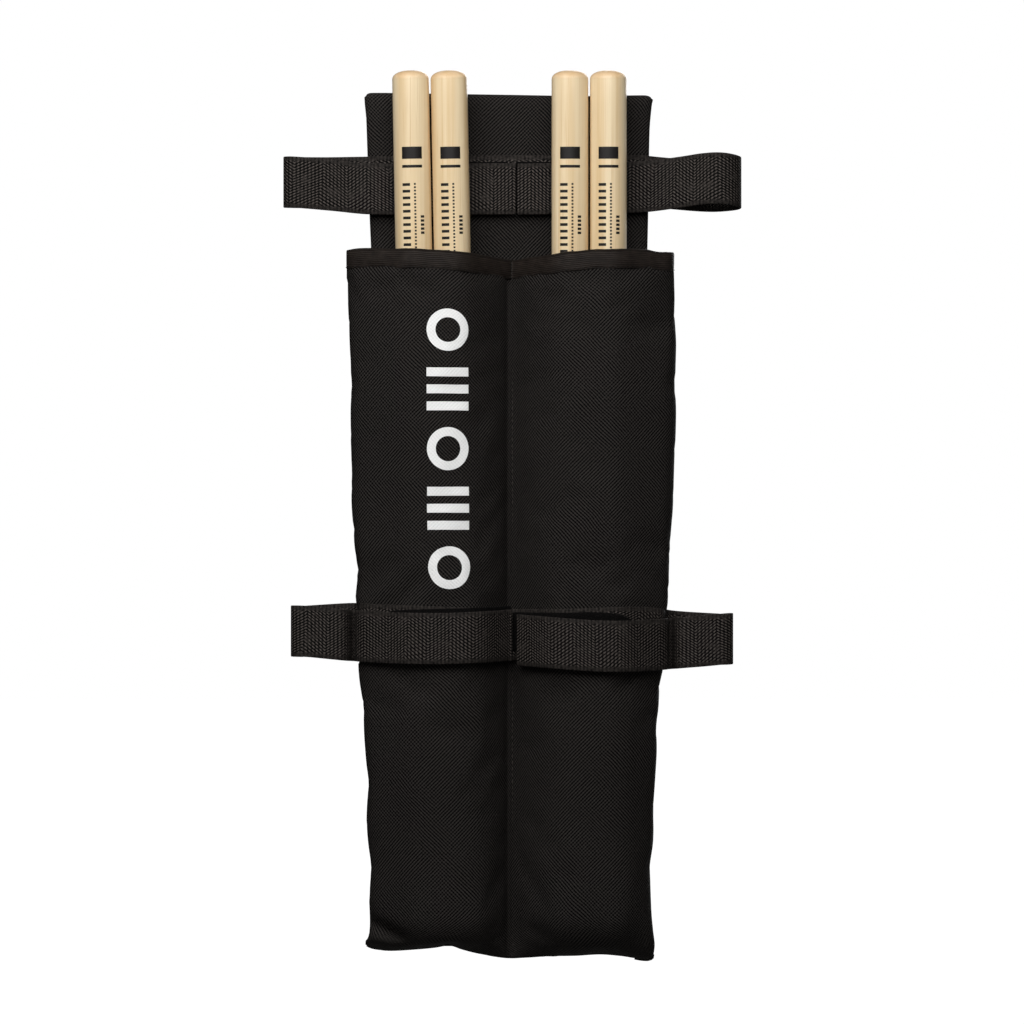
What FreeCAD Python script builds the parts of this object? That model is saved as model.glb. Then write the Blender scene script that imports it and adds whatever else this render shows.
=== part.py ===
import FreeCAD, Part
import math
import os
from FreeCAD import Vector

# Stick bag: a flat padded back panel with two padded pockets sewn to its front, two straps
# sewn across the front whose ends form loops at the sides, and two pairs of sticks.
# Millimetres, +Z up along the sticks, the front of the bag faces -Y. The origin is on the
# rear face, on the centre line, level with the middle of the upper strap.
# "Height" always means the distance above the bag's bottom edge.

# ---- heights ----------------------------------------------------------------------------
PANEL_HEIGHT = 428.0             # top edge of the back panel
UPPER_STRAP_DROP = 43.0          # from that edge down to the middle of the upper strap
MOUTH_DROP = 33.5                # from there down to the pocket mouth
MOUTH_DIP = 3.6                  # how far the centre seam draws the mouth down
MOUTH_DIP_HALF_WIDTH = 26.0      # where the mouth starts to dip, each side of the seam
LOWER_STRAP_HEIGHT = 161.0       # middle of the lower strap

# ---- back panel -------------------------------------------------------------------------
CLOTH_THICKNESS = 0.8            # heavy woven nylon
LINING_THICKNESS = 0.6
PANEL_FOAM = 5.4
PANEL_HALF_TOP = 71.0            # half widths of the panel at three heights
PANEL_HALF_MOUTH = 68.0
PANEL_HALF_BOTTOM = 61.0
PANEL_CORNER_RADIUS = 2.0

# ---- pocket front -----------------------------------------------------------------------
POCKET_FOAM = 2.4
POCKET_HALF_WIDTHS = (           # height, half width of the pair of pockets at the edge
    (0.0, 69.5), (50.0, 69.0), (94.0, 70.5), (192.0, 77.5), (262.0, 80.5), (360.0, 80.7))
CINCHED_HALF_WIDTH = 75.5        # where the lower strap draws the pockets in
BOTTOM_ROUND = 22.0              # height over which the pockets fill out from the bottom seam
BOTTOM_STEPS = (0.03, 0.1, 0.2, 0.35, 0.55, 0.8, 1.0)    # where that rounding is sampled
BOTTOM_DEPTH = 12.0              # depth of the bag at the bottom seam
SIDE_RADIUS = 9.5                # roll of the pocket cloth at the bag's sides
BOTTOM_SIDE_RADIUS = 5.2         # the same at the bottom seam
SIDE_INSET = 0.6                 # the roll stops this far in front of the rear face
SEAM_RADIUS = 1.5                # valley of the centre seam
SEAM_BITE = 0.3                  # how far the seam presses the pocket into the panel
BINDING_HEIGHT = 7.5             # folded binding along the mouth
BINDING_THICKNESS = 0.5
SEAT_HEIGHT = 4.3                # seam allowance inside the bottom, which the sticks stand on

# ---- straps -----------------------------------------------------------------------------
WEBBING_WIDTH = 25.4
WEBBING_THICKNESS = 1.4
TAPE_THICKNESS = 0.8             # hook tape and pile tape
TAPE_MARGIN = 3.2                # edge of the webbing to edge of the tape
TAPE_GAP = 0.3                   # between closed hook and pile
STRAP_END_GAP = 1.2              # half the gap between the two free ends at the centre
NODE_GAP = 0.3                   # between the stretches of one webbing that move apart
STRAP_VALLEY_RADIUS = 6.5        # how the strap sinks into the centre seam's valley
STRAP_VALLEY_DEPTH = 14.0        # its lowest point, from the rear face
CORNER_RADIUS = 6.5              # bend where a strap leaves the pocket's side
UPPER_LOOP_LENGTH = 43.2         # from the panel's edge to the outer end of the loop
LOWER_LOOP_LENGTH = 33.8         # the same from the side of the pockets
LOOP_RADIUS_TIGHT = 5.0          # inside of the fold
LOOP_RADIUS_OPEN = 10.0          # the upper right loop stands open
HINGE_OUTSET = 2.7               # bend line of an upper loop, outside the panel's edge
BEND_HALF_LENGTH = 2.2           # webbing that bends, each side of that line
THREAD_WIDTH = 0.6
THREAD_INSET = 1.5               # stitch line to the webbing's edge
THREAD_LIFT = 0.05               # thread to the bottom of the seam's valley

# ---- sticks -----------------------------------------------------------------------------
STICK_LENGTH = 432.0
STICK_RADIUS = 9.1
PAIR_GAP = 0.8                   # between the two sticks of a pair
LEFT_PAIR_X = -40.8              # middle of each pair at the butt ends
RIGHT_PAIR_X = 38.2
LEFT_PAIR_TILT = 1.1             # degrees: the left pair leans, butts outwards
BUTT_DOME = 4.4                  # height of the rounded butt
TAPER_LENGTH = 105.0
TAPER_MIDDLE = (0.4, 0.62)       # share of the taper's length, share of the shaft's radius
TIP_LENGTH = 14.0
TIP_RADIUS = 5.3
BEAD_ROUNDING = ((0.12, 0.75), (0.5, 1.0))     # shares of the tip's length and radius
NECK_RADIUS = 3.7
BEAD_SLOPE = -0.2                # radius over length, where the bead runs into the neck
NECK_SLOPE = 0.02                # the same, where the neck runs into the taper
STICK_GAP = 0.4                  # stick to lining, and stick to strap
SEAT_GAP = 0.3                   # stick to the seam allowance under it

# ---- worked out from the sizes above ----------------------------------------------------
UPPER_STRAP_HEIGHT = PANEL_HEIGHT - UPPER_STRAP_DROP
MOUTH_HEIGHT = UPPER_STRAP_HEIGHT - MOUTH_DROP
TAPE_WIDTH = WEBBING_WIDTH - 2 * TAPE_MARGIN
STICK_PITCH = 2 * STICK_RADIUS + PAIR_GAP
PANEL_THICKNESS = 2 * CLOTH_THICKNESS + PANEL_FOAM
POCKET_THICKNESS = CLOTH_THICKNESS + POCKET_FOAM + LINING_THICKNESS
STRAP_PILE = WEBBING_THICKNESS
STRAP_HOOK = STRAP_PILE + TAPE_THICKNESS + TAPE_GAP
STRAP_FLAP = STRAP_HOOK + TAPE_THICKNESS
STRAP_FRONT = STRAP_FLAP + WEBBING_THICKNESS
STICK_DEPTH = PANEL_THICKNESS + STRAP_FRONT + STICK_GAP + STICK_RADIUS
CROWN_RADIUS = STICK_RADIUS + STICK_GAP + BINDING_THICKNESS + POCKET_THICKNESS
POCKET_DEPTH = STICK_DEPTH + CROWN_RADIUS
TIP_HEIGHT = POCKET_THICKNESS + SEAT_HEIGHT + SEAT_GAP
BUTT_HEIGHT = TIP_HEIGHT + STICK_LENGTH
LEAN = math.tan(math.radians(LEFT_PAIR_TILT))
STRAP_LOW = LOWER_STRAP_HEIGHT - WEBBING_WIDTH / 2
STRAP_HIGH = LOWER_STRAP_HEIGHT + WEBBING_WIDTH / 2
FAR = 400.0                      # larger than the bag in any direction
FULL_TURN = 0.5                  # radians


def z_at(height):
    """The Z of a height above the bottom edge."""
    return height - UPPER_STRAP_HEIGHT


def save(name, solids):
    """Writes one node: a single solid, or a group of separate ones."""
    solids = solids if isinstance(solids, list) else [solids]
    shape = solids[0] if len(solids) == 1 else Part.makeCompound(solids)
    shape.exportStep("parts/" + name + ".step")


def block(x0, x1, y0, y1, z0, z1):
    return Part.makeBox(x1 - x0, y1 - y0, z1 - z0, Vector(x0, y0, z0))


def between(height, table):
    """Linear interpolation in a table of (height, value)."""
    for (h0, v0), (h1, v1) in zip(table, table[1:]):
        if height <= h1:
            return v0 + (v1 - v0) * (height - h0) / (h1 - h0)
    return table[-1][1]


# ---- outlines as a belt round circles ------------------------------------------------------
# A path runs from circle to circle. Each circle is (x, y, r): the belt keeps a circle with
# r > 0 on its right, one with r < 0 on its left, and r = 0 is an end point. Moving the belt
# outwards by an offset only changes the radii, so layers stay parallel.

def belt(circles, offset):
    """Edges of the belt in the XY plane, as (start, end) or (start, middle, end).

    A belt only turns towards a circle that it keeps on its right, and away from one on its
    left. Past FULL_TURN the other way, the arc goes round the far side of the circle.
    """
    normals = []
    for (x0, y0, r0), (x1, y1, r1) in zip(circles, circles[1:]):
        length = math.hypot(x1 - x0, y1 - y0)
        along = math.atan2(y1 - y0, x1 - x0)
        normals.append(along + math.pi / 2 - math.asin((r0 - r1) / length))

    def touch(circle, normal):
        reach = circle[2] + offset
        return (circle[0] + reach * math.cos(normal), circle[1] + reach * math.sin(normal))

    edges = []
    for i, normal in enumerate(normals):
        edges.append((touch(circles[i], normal), touch(circles[i + 1], normal)))
        if i + 1 < len(normals):
            turn = (normals[i + 1] - normal + math.pi) % (2 * math.pi) - math.pi
            middle = normal + turn / 2
            if turn * math.copysign(1, circles[i + 1][2]) > FULL_TURN:
                middle += math.pi
            edges.append((touch(circles[i + 1], normal), touch(circles[i + 1], middle),
                          touch(circles[i + 1], normals[i + 1])))
    return edges


def to_edge(points, z):
    places = [Vector(x, y, z) for x, y in points]
    if len(places) == 2:
        return Part.makeLine(places[0], places[1])
    return Part.Arc(*places).toShape()


def ribbon(circles, first, last, inner, outer, z_middle, width, trim=0.0):
    """Webbing or tape that follows edges first..last of a belt, from one offset to another.

    The last edge, where it is straight, stops short of its end by trim.
    """
    pieces = []
    low, high = belt(circles, inner), belt(circles, outer)
    for index in range(first, last + 1):
        a, b = low[index], high[index]
        if index == last and trim:
            a, b = shorten(a, trim), shorten(b, trim)
        z = z_middle - width / 2
        wire = Part.Wire([to_edge(a, z), to_edge((a[-1], b[-1]), z), to_edge(b[::-1], z),
                          to_edge((b[0], a[0]), z)])
        pieces.append(Part.Face(wire).extrude(Vector(0, 0, width)))
    solid = pieces[0].fuse(pieces[1:]).removeSplitter() if len(pieces) > 1 else pieces[0]
    return solid.Solids[0]


def shorten(edge, trim):
    (x0, y0), (x1, y1) = edge
    share = 1 - trim / math.hypot(x1 - x0, y1 - y0)
    return ((x0, y0), (x0 + (x1 - x0) * share, y0 + (y1 - y0) * share))


# ---- the pockets' section --------------------------------------------------------------

def fill(height):
    """How far the pockets have filled out: 0 at the bottom seam, 1 above the rounding."""
    return math.sqrt(1 - max(0.0, 1 - height / BOTTOM_ROUND) ** 2)


def stick_x(height):
    """X of the four stick axes at a height, from left to right."""
    shift = LEAN * (BUTT_HEIGHT - height)
    left, half = LEFT_PAIR_X + shift, STICK_PITCH / 2
    return [left - half, left + half, RIGHT_PAIR_X - half, RIGHT_PAIR_X + half]


def half_width(height):
    """Half width of the pockets. The lower strap holds it constant over its own width."""
    if STRAP_LOW <= height <= STRAP_HIGH:
        return CINCHED_HALF_WIDTH
    below = [row for row in POCKET_HALF_WIDTHS if row[0] < STRAP_LOW]
    above = [row for row in POCKET_HALF_WIDTHS if row[0] > STRAP_HIGH]
    waist = [(STRAP_LOW, CINCHED_HALF_WIDTH), (STRAP_HIGH, CINCHED_HALF_WIDTH)]
    return between(height, below + waist + above)


def pocket_circles(height):
    """What the pocket cloth is drawn over, from the right side roll to the left one."""
    full = fill(height)
    if STRAP_LOW <= height <= STRAP_HIGH:
        height = LOWER_STRAP_HEIGHT
    depth = BOTTOM_DEPTH + (POCKET_DEPTH - BOTTOM_DEPTH) * full
    crown = CROWN_RADIUS * depth / POCKET_DEPTH
    side = BOTTOM_SIDE_RADIUS + (SIDE_RADIUS - BOTTOM_SIDE_RADIUS) * full
    x_side, y_side = half_width(height) - side, -SIDE_INSET - side
    valley_y = -PANEL_THICKNESS - POCKET_THICKNESS + SEAM_BITE - SEAM_RADIUS
    a, b, c, d = stick_x(height)
    crowns = [(x, crown - depth, crown) for x in (d, c)]
    crowns += [(0.0, valley_y, -SEAM_RADIUS)] + [(x, crown - depth, crown) for x in (b, a)]
    return [(x_side, y_side, side)] + crowns + [(-x_side, y_side, side)]


def pocket_section(height, inset):
    """Closed outline of the pockets, drawn in by inset, at one height."""
    circles = pocket_circles(height)
    circles = [(0.0, -SIDE_INSET, 0.0)] + circles + [(0.0, -SIDE_INSET, 0.0)]
    edges = belt(circles, -inset)
    z = z_at(height)
    # the belt's two ends meet on the centre line of the rear face
    return Part.Wire([to_edge(edge, z) for edge in edges])


def pocket_solid(inset, top):
    """The filled pockets, drawn in by inset, up to a height."""
    base = max(inset, 0.0)
    rounding = [BOTTOM_ROUND * part for part in BOTTOM_STEPS]
    heights = [base] + [h for h in rounding if h > base + NODE_GAP]
    heights += [row[0] for row in POCKET_HALF_WIDTHS if BOTTOM_ROUND < row[0] < top - NODE_GAP]
    heights += [STRAP_LOW, STRAP_HIGH, top]
    wires = [pocket_section(height, inset) for height in sorted(heights)]
    return Part.makeLoft(wires, True, True)


def panel_half(height):
    return between(height, ((0.0, PANEL_HALF_BOTTOM), (MOUTH_HEIGHT, PANEL_HALF_MOUTH),
                            (PANEL_HEIGHT, PANEL_HALF_TOP)))


def panel_plate(inset, y0, y1):
    """A slab with the panel's outline drawn in by inset, between two depths."""
    heights = [(inset, 0.0), (MOUTH_HEIGHT, MOUTH_HEIGHT), (PANEL_HEIGHT - inset, PANEL_HEIGHT)]
    right = [Vector(panel_half(h) - inset, y0, z_at(z)) for z, h in heights]
    left = [Vector(-p.x, p.y, p.z) for p in reversed(right)]
    face = Part.Face(Part.makePolygon(right + left + [right[0]]))
    plate = face.extrude(Vector(0, y1 - y0, 0))
    radius = PANEL_CORNER_RADIUS - min(inset, PANEL_CORNER_RADIUS / 2)
    corners = [edge for edge in plate.Edges
               if edge.BoundBox.ZMin > z_at(PANEL_HEIGHT - inset - NODE_GAP)
               and edge.BoundBox.YLength > abs(y1 - y0) / 2]
    return plate.makeFillet(radius, corners)


def mouth_cut(drop):
    """Everything above the mouth line, lowered by drop: the line dips at the centre seam."""
    level, dip = z_at(MOUTH_HEIGHT - drop), z_at(MOUTH_HEIGHT - MOUTH_DIP - drop)
    reach = MOUTH_DIP_HALF_WIDTH
    left, middle, right = Vector(-reach, 0, level), Vector(0, 0, dip), Vector(reach, 0, level)
    corners = [Vector(FAR, 0, level), Vector(FAR, 0, level + FAR), Vector(-FAR, 0, level + FAR),
               Vector(-FAR, 0, level)]
    wire = Part.Wire([Part.Arc(left, middle, right).toShape()]
                     + [Part.makeLine(p, q) for p, q in zip([right] + corners, corners + [left])])
    return Part.Face(wire).extrude(Vector(0, FAR, 0)).translated(Vector(0, -FAR / 2, 0))


# ---- bag ----------------------------------------------------------------------------------

def make_panel():
    """Two trays of cloth, face to face round the edge, with the foam sealed between them."""
    front, rear, middle = -PANEL_THICKNESS, 0.0, -PANEL_THICKNESS / 2
    foam = panel_plate(CLOTH_THICKNESS, front + CLOTH_THICKNESS, rear - CLOTH_THICKNESS)
    save("rear_cloth", panel_plate(0.0, middle, rear).cut(foam))
    save("front_cloth", panel_plate(0.0, front, middle).cut(foam))
    save("panel_foam", foam)
    return panel_plate(0.0, front, rear)


def make_pockets(panel):
    """Cloth, foam and lining in one curved front, a binding on the mouth and the bottom seam."""
    above = MOUTH_HEIGHT + 2 * BINDING_HEIGHT
    depths = (0.0, CLOTH_THICKNESS, CLOTH_THICKNESS + POCKET_FOAM, POCKET_THICKNESS)
    forms = [pocket_solid(depth, above) for depth in depths]
    open_top = mouth_cut(0.0)
    layers = [outside.cut([inside, panel, open_top]) for outside, inside in zip(forms, forms[1:])]
    cloth, foam, lining = [max(layer.Solids, key=lambda solid: solid.Volume) for layer in layers]
    save("pocket_cloth", cloth)
    save("pocket_lining", lining)
    # each pocket has its own foam pad, and they meet at the centre seam
    for name, x0, x1 in (("left", -FAR, 0), ("right", 0, FAR)):
        save("pocket_foam_" + name, foam.common(block(x0, x1, -FAR, FAR, -FAR, FAR)).Solids[0])

    cover = pocket_solid(-BINDING_THICKNESS, above).cut(
        [pocket_solid(POCKET_THICKNESS + BINDING_THICKNESS, above), panel,
         mouth_cut(-BINDING_THICKNESS)])
    cover = cover.common(mouth_cut(BINDING_HEIGHT))
    wall = forms[0].cut([forms[-1], open_top])
    save("mouth_binding", cover.cut(wall).Solids)

    cavity = forms[-1].cut(panel)
    layer = block(-FAR, FAR, -FAR, 0, z_at(0), z_at(POCKET_THICKNESS + SEAT_HEIGHT))
    save("bottom_seam_allowance", cavity.common(layer).Solids)

    seam_y = -PANEL_THICKNESS - POCKET_THICKNESS + SEAM_BITE
    half = THREAD_WIDTH / 2
    mouth = MOUTH_HEIGHT - MOUTH_DIP - BINDING_HEIGHT
    runs = ((BOTTOM_ROUND, STRAP_LOW - THREAD_WIDTH), (STRAP_HIGH + THREAD_WIDTH, mouth - THREAD_WIDTH))
    save("centre_seam_thread", [block(-half, half, seam_y - THREAD_WIDTH, seam_y - THREAD_LIFT,
                                      z_at(low), z_at(high)) for low, high in runs])


# ---- straps -------------------------------------------------------------------------------
# Each strap is sewn across the front. Its ends run out past the sides as far strands, fold
# round and come back over the front, where hook tape closes on pile tape. Both sides are
# worked out as the left one, and the right one is mirrored.

def on_side(side, solid):
    """A solid made for the left side (-1), or its mirror image for the right side (1)."""
    return solid if side < 0 else solid.mirror(Vector(0, 0, 0), Vector(1, 0, 0))


def fold_ring(centre, radius, far_end, near_end, z_middle):
    """The fold between the ends of the far and the near strand's inner faces."""
    rings = []
    for reach in (radius, radius + WEBBING_THICKNESS):
        ends = []
        for x, y in (far_end, (centre[0] - radius, centre[1]), near_end):
            scale = reach / math.hypot(x - centre[0], y - centre[1])
            ends.append((centre[0] + (x - centre[0]) * scale, centre[1] + (y - centre[1]) * scale))
        rings.append(ends)
    z = z_middle - WEBBING_WIDTH / 2
    inner, outer = rings
    wire = Part.Wire([to_edge(inner, z), to_edge((inner[-1], outer[-1]), z),
                      to_edge(outer[::-1], z), to_edge((outer[0], inner[0]), z)])
    return Part.Face(wire).extrude(Vector(0, 0, WEBBING_WIDTH))


def fold_circles(centre, radius):
    """The fold as the far strand and as the near strand run past it."""
    far = (centre[0], centre[1], -radius - WEBBING_THICKNESS)
    near = (centre[0], centre[1], radius - STRAP_FLAP)
    return far, near


def strand(circles, inner, outer, z_middle, trim=0.0):
    """Webbing along a whole belt."""
    return ribbon(circles, 0, 2 * len(circles) - 4, inner, outer, z_middle, WEBBING_WIDTH, trim)


def stitch_rows(circles, first, last, z_middle):
    """Two rows of stitching on the sewn strand, along its upper and lower edges."""
    rise = WEBBING_WIDTH / 2 - THREAD_INSET
    return [ribbon(circles, first, last, WEBBING_THICKNESS, WEBBING_THICKNESS + THREAD_WIDTH / 2,
                   z_middle + offset, THREAD_WIDTH) for offset in (-rise, rise)]


def lower_side_circles(side):
    """Left-hand circles of the lower strap: over the seam, the crowns and the side roll."""
    pocket = pocket_circles(LOWER_STRAP_HEIGHT)
    if side > 0:
        pocket = [(-x, y, r) for x, y, r in reversed(pocket)]
    valley = (0.0, -STRAP_VALLEY_DEPTH - STRAP_VALLEY_RADIUS, -STRAP_VALLEY_RADIUS)
    return [pocket[2], valley] + pocket[4:]


CORNER = (-CINCHED_HALF_WIDTH - CORNER_RADIUS, -SIDE_INSET - SIDE_RADIUS - CORNER_RADIUS,
          -CORNER_RADIUS)
LOWER_FOLD = (-CINCHED_HALF_WIDTH - LOWER_LOOP_LENGTH + WEBBING_THICKNESS + LOOP_RADIUS_TIGHT,
              CORNER[1] + CORNER_RADIUS - (STRAP_PILE + STRAP_FLAP) / 2)


def make_lower_strap():
    z = z_at(LOWER_STRAP_HEIGHT)
    far, near = fold_circles(LOWER_FOLD, LOOP_RADIUS_TIGHT)
    left = lower_side_circles(-1) + [CORNER, far]
    right = lower_side_circles(1) + [CORNER, far]
    whole = [(-x, y, r) for x, y, r in reversed(right[2:])] + left[1:]
    save("lower_strap", strand(whole, 0.0, WEBBING_THICKNESS, z))
    stitches = []
    keep = block(-FAR, -STRAP_END_GAP, -FAR, FAR, -FAR, FAR)
    for side, name in ((-1, "left"), (1, "right")):
        base = lower_side_circles(side) + [CORNER, far]
        flap = base[:-1] + [near]
        # edges 3 to 5 go over the two sticks, and edge 7 is the side roll
        save("lower_%s_pile_tape" % name, on_side(side, ribbon(
            base, 3, 5, STRAP_PILE, STRAP_PILE + TAPE_THICKNESS, z, TAPE_WIDTH)))
        save("lower_%s_hook_tape" % name, on_side(side, ribbon(
            flap, 3, 5, STRAP_HOOK, STRAP_FLAP, z, TAPE_WIDTH)))
        web = strand(flap, STRAP_FLAP, STRAP_FRONT, z, NODE_GAP).common(keep)
        save("lower_%s_flap" % name, on_side(side, web.Solids[0]))
        far_end = belt(base, WEBBING_THICKNESS)[-1][-1]
        near_end = belt(flap, STRAP_FLAP)[-1][-1]
        save("lower_%s_fold" % name, on_side(
            side, fold_ring(LOWER_FOLD, LOOP_RADIUS_TIGHT, far_end, near_end, z)))
        stitches += [on_side(side, row) for row in stitch_rows(base, 3, 7, z)]
    save("lower_strap_thread", stitches)


PANEL_EDGE = panel_half(UPPER_STRAP_HEIGHT + WEBBING_WIDTH / 2)
UPPER_HINGE_X = PANEL_EDGE + HINGE_OUTSET
UPPER_HINGE_Y = -PANEL_THICKNESS - STRAP_FRONT / 2
LOOP_RADII = {-1: LOOP_RADIUS_TIGHT, 1: LOOP_RADIUS_OPEN}


def upper_fold(side):
    return (-PANEL_EDGE - UPPER_LOOP_LENGTH + WEBBING_THICKNESS + LOOP_RADII[side],
            -PANEL_THICKNESS - (STRAP_PILE + STRAP_FLAP) / 2)


def make_upper_strap():
    """The upper strap. Its loops swing at the panel's edge, where the webbing bends."""
    z = z_at(UPPER_STRAP_HEIGHT)
    sewn_end = UPPER_HINGE_X - BEND_HALF_LENGTH
    loop_start = UPPER_HINGE_X + BEND_HALF_LENGTH
    save("upper_strap", block(-sewn_end + NODE_GAP, sewn_end - NODE_GAP,
                              -PANEL_THICKNESS - WEBBING_THICKNESS, -PANEL_THICKNESS,
                              z - WEBBING_WIDTH / 2, z + WEBBING_WIDTH / 2))
    stitches = []
    for side, name in ((-1, "left"), (1, "right")):
        centre, radius = upper_fold(side), LOOP_RADII[side]
        far_fold, near_fold = fold_circles(centre, radius)
        start = (-STRAP_END_GAP, -PANEL_THICKNESS, 0.0)
        shoulder = loop_start + STRAP_FRONT
        far = [start, (-shoulder, -PANEL_THICKNESS + CORNER_RADIUS, CORNER_RADIUS), far_fold]
        near = [start, (-shoulder, -PANEL_THICKNESS - CORNER_RADIUS, -CORNER_RADIUS), near_fold]
        far_web = strand(far, 0.0, WEBBING_THICKNESS, z)
        near_web = strand(near, STRAP_FLAP, STRAP_FRONT, z)
        ring = fold_ring(centre, radius, belt(far, WEBBING_THICKNESS)[-1][-1],
                         belt(near, STRAP_FLAP)[-1][-1], z)
        outside = block(-FAR, -loop_start, -FAR, FAR, -FAR, FAR)
        loop = far_web.common(outside).fuse([ring, near_web.common(outside)]).removeSplitter()
        save("upper_%s_loop" % name, on_side(side, loop.Solids[0]))
        bend = block(-loop_start + NODE_GAP, -sewn_end, -FAR, FAR, -FAR, FAR)
        save("upper_%s_bend" % name, [on_side(side, web.common(bend).Solids[0])
                                      for web in (far_web, near_web)])
        inside = block(-sewn_end + NODE_GAP, 0, -FAR, FAR, -FAR, FAR)
        save("upper_%s_tab" % name, on_side(side, near_web.common(inside).Solids[0]))

        tape_start, tape_end = stick_x(UPPER_STRAP_HEIGHT)[0] - STICK_RADIUS, -STRAP_END_GAP
        for kind, inner in (("pile", STRAP_PILE), ("hook", STRAP_HOOK)):
            front = -PANEL_THICKNESS - inner - TAPE_THICKNESS
            save("upper_%s_%s_tape" % (name, kind), on_side(side, block(
                tape_start, tape_end, front, front + TAPE_THICKNESS,
                z - TAPE_WIDTH / 2, z + TAPE_WIDTH / 2)))
        sewn = [start, (-sewn_end + THREAD_INSET, -PANEL_THICKNESS, 0.0)]
        stitches += [on_side(side, row) for row in stitch_rows(sewn, 0, 0, z)]
    save("upper_strap_thread", stitches)


# ---- sticks ---------------------------------------------------------------------------------

def smooth(points, start_direction, end_direction):
    curve = Part.BSplineCurve()
    curve.interpolate(points, InitialTangent=start_direction, FinalTangent=end_direction)
    return curve.toShape()


def stick_profile():
    """Half outline of a stick standing on its tip: bead, neck, taper, shaft, domed butt."""
    up = Vector(0, 0, 1)
    foot, neck = Vector(0, 0, 0), Vector(NECK_RADIUS, 0, TIP_LENGTH)
    round_points = [Vector(wide * TIP_RADIUS, 0, high * TIP_LENGTH) for high, wide in BEAD_ROUNDING]
    bead = smooth([foot] + round_points + [neck], Vector(1, 0, 0), Vector(BEAD_SLOPE, 0, 1))

    middle = Vector(TAPER_MIDDLE[1] * STICK_RADIUS, 0, TAPER_MIDDLE[0] * TAPER_LENGTH)
    shoulder = Vector(STICK_RADIUS, 0, TAPER_LENGTH)
    taper = smooth([neck, middle, shoulder], Vector(NECK_SLOPE, 0, 1), up)

    dome_start = Vector(STICK_RADIUS, 0, STICK_LENGTH - BUTT_DOME)
    butt = Vector(0, 0, STICK_LENGTH)
    angles = [math.radians(angle) for angle in range(0, 91, 15)]
    quarter = [Vector(STICK_RADIUS * math.cos(a), 0, dome_start.z + BUTT_DOME * math.sin(a))
               for a in angles]
    dome = smooth(quarter, up, Vector(-1, 0, 0))
    return Part.Wire([bead, taper, Part.makeLine(shoulder, dome_start), dome,
                      Part.makeLine(butt, foot)])


def make_sticks():
    """Two pairs, butts up. Every stick stands on the seam allowance inside the bottom."""
    form = Part.Face(stick_profile()).revolve(Vector(0, 0, 0), Vector(0, 0, 1), 360)
    form = form.Solids[0] if form.Solids else form
    names = ("left_outer", "left_inner", "right_inner", "right_outer")
    for name, x in zip(names, stick_x(BUTT_HEIGHT)):
        butt = Vector(x, -STICK_DEPTH, z_at(BUTT_HEIGHT))
        stick = form.translated(butt - Vector(0, 0, STICK_LENGTH))
        if name.startswith("left"):
            stick.rotate(butt, Vector(0, 1, 0), -LEFT_PAIR_TILT)
        save("stick_" + name, stick)


os.makedirs("parts", exist_ok=True)
make_pockets(make_panel())
make_upper_strap()
make_lower_strap()
make_sticks()
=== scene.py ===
"""A padded drum stick bag with two straps and two pairs of sticks, dressed over its solids."""

import bisect
import logging
import math
from collections.abc import Callable, Iterable, Sequence
from dataclasses import dataclass, field
from enum import Enum

import bmesh
import bpy
from mathutils import Matrix, Vector, noise


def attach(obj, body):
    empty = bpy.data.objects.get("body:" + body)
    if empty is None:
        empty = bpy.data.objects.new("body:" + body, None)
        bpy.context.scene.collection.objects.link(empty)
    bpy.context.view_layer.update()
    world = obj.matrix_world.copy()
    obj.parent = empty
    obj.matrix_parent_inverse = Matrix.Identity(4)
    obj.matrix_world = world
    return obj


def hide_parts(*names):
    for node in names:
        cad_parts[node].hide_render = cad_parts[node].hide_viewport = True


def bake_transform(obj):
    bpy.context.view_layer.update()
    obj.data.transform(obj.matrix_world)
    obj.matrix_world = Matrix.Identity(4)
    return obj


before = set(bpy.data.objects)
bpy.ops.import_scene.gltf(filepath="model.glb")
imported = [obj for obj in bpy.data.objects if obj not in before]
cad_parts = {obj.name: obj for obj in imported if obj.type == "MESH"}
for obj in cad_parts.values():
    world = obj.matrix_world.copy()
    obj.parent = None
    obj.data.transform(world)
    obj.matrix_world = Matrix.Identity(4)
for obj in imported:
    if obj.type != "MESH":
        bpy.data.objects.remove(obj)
LOG = logging.getLogger("stick_bag")

Point = tuple[float, float]             # X and Y, or a position and its value
Circle = tuple[float, float, float]     # X, Y and radius

# sizes are in mm, and heights count from the bag's bottom edge
MM = 0.001
ORIGIN_HEIGHT = 385.0          # of the frame's origin
PANEL_HEIGHT = 428.0
PANEL_THICKNESS = 7.0
MOUTH_HEIGHT = 351.5           # of the pocket mouth
STRAP_HEIGHT = 161.0           # of the lower strap's middle
WALL = 3.8                     # pocket front: cloth, foam and lining
CROWN = 13.8                   # radius of the pocket front over a stick
HELD_DEPTH = 35.0              # crowns in front of the rear face, under the lower strap
SHOULDER: Circle = (-66.5, -15.5, 8.0)     # side roll of the pocket under that strap

WEBBING_WIDTH = 25.4
WEBBING_THICKNESS = 1.4
TAPE_THICKNESS = 0.8
TAPE_WIDTH = 19.0
BASE_LEVEL = 0.7               # middle of the sewn strand, above what it is sewn to
PILE_LEVEL = 1.8               # the same for the pile tape
HOOK_LEVEL = 2.9               # for the hook tape
FLAP_LEVEL = 4.0               # and for the near strand
FOLD_DROP = 3.3                # near strand's rear face above the sewn cloth, where it folds
THREAD_INSET = 1.5             # row of stitches to the webbing's edge
THREAD_LIFT = -0.72            # webbing's middle to its stitches, which lie in front

BUTT_HEIGHT = 440.4
BUTT_X = (-50.3, -31.3, 28.7, 47.7)        # of the stick axes
STICK_DEPTH = 21.2             # of those axes in front of the rear face
STICK_RADIUS = 9.1
STICK_LENGTH = 432.0
LEAN = math.radians(1.1)       # the left pair leans, butts outwards

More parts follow.
